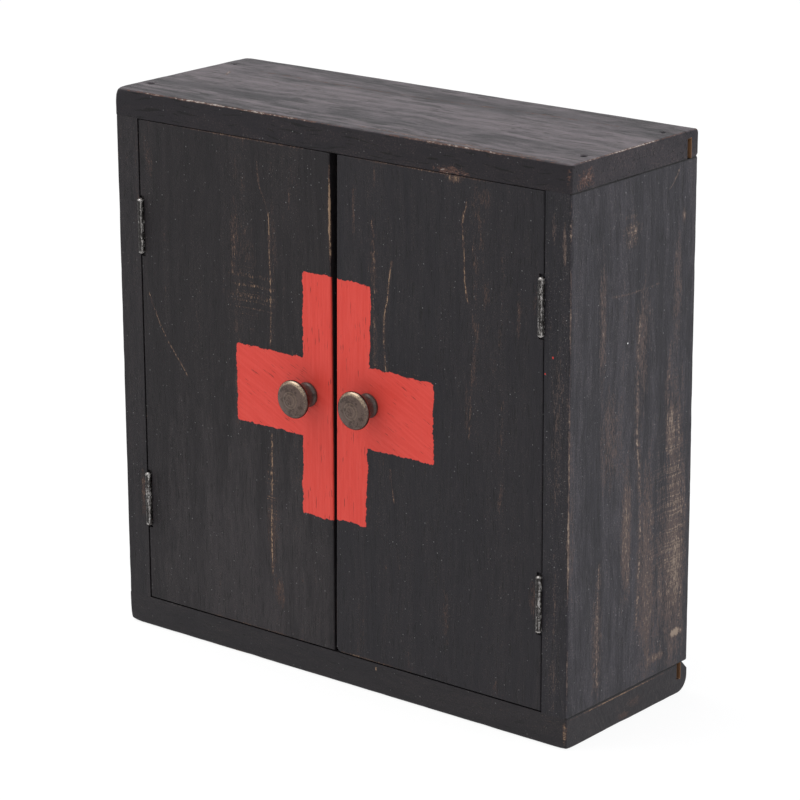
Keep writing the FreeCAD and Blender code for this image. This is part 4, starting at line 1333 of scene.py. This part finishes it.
studio = {
    "floorSize": 14.0, "floorDrop": 0.3, "floorGrey": 0.82, "shadowShare": 0.16, "glow": 0.87,
    "worldLight": 0.76,
    "lamps": (
        {"name": "overhead_box", "place": (-0.9, -0.5, 2.3), "size": 1.8, "power": 32, "tint": (1, 1, 1)},
        {"name": "right_box", "place": (2.4, 0.6, 1.1), "size": 1.6, "power": 26, "tint": (0.94, 0.97, 1.06)},
    ),
    "aim": (0, 0, 0.22),
}


def seenDirectly(tree):
    path = addNode("ShaderNodeLightPath", {}, tree).outputs
    seen = larger(path["Is Camera Ray"], path["Is Glossy Ray"])
    return larger(seen, path["Is Transmission Ray"])


def addFloor():
    half, level = studio["floorSize"] / 2, -studio["floorDrop"] * mm
    corners = ((-half, -half), (half, -half), (half, half), (-half, half))
    mesh = bmesh.new()
    mesh.faces.new([mesh.verts.new((x, y, level)) for x, y in corners])
    material = bpy.data.materials.new("pale_floor")
    material.use_nodes = True
    tree = material.node_tree
    tree.nodes.remove(tree.nodes["Principled BSDF"])
    grey, share = studio["floorGrey"], studio["shadowShare"]
    plain = addNode("ShaderNodeBsdfDiffuse", {"Color": (grey, grey, grey, 1)}, tree).outputs[0]
    shaded = addNode("ShaderNodeBsdfDiffuse", {"Color": (share, share, share, 1)}, tree).outputs[0]
    glow = addNode("ShaderNodeEmission", {"Strength": studio["glow"]}, tree).outputs[0]
    white = addNode("ShaderNodeAddShader", {0: shaded, 1: glow}).outputs[0]
    mixed = addNode("ShaderNodeMixShader", {0: seenDirectly(tree), 1: plain, 2: white}).outputs[0]
    plug(mixed, tree.nodes["Material Output"].inputs["Surface"])
    newPiece("floor", mesh, material)


def addLamps():
    for lamp in studio["lamps"]:
        data = bpy.data.lights.new(lamp["name"], "AREA")
        data.shape = "SQUARE"
        data.size = lamp["size"]
        data.energy = lamp["power"]
        data.color = lamp["tint"]
        light = bpy.data.objects.new(lamp["name"], data)
        light.location = lamp["place"]
        aim = Vector(studio["aim"]) - light.location
        light.rotation_euler = aim.to_track_quat("-Z", "Y").to_euler()
        bpy.context.scene.collection.objects.link(light)


def addWorld():
    world = bpy.data.worlds.new("white_studio")
    world.use_nodes = True
    tree = world.node_tree
    back = tree.nodes["Background"]
    back.inputs["Color"].default_value = (1, 1, 1, 1)
    ambient = studio["worldLight"]
    plug(timesPlus(seenDirectly(tree), 1 - ambient, ambient), back.inputs["Strength"])
    bpy.context.scene.world = world


addFloor()
addLamps()
addWorld()
bpy.context.scene.view_settings.view_transform = "Standard"
print("studio lit")
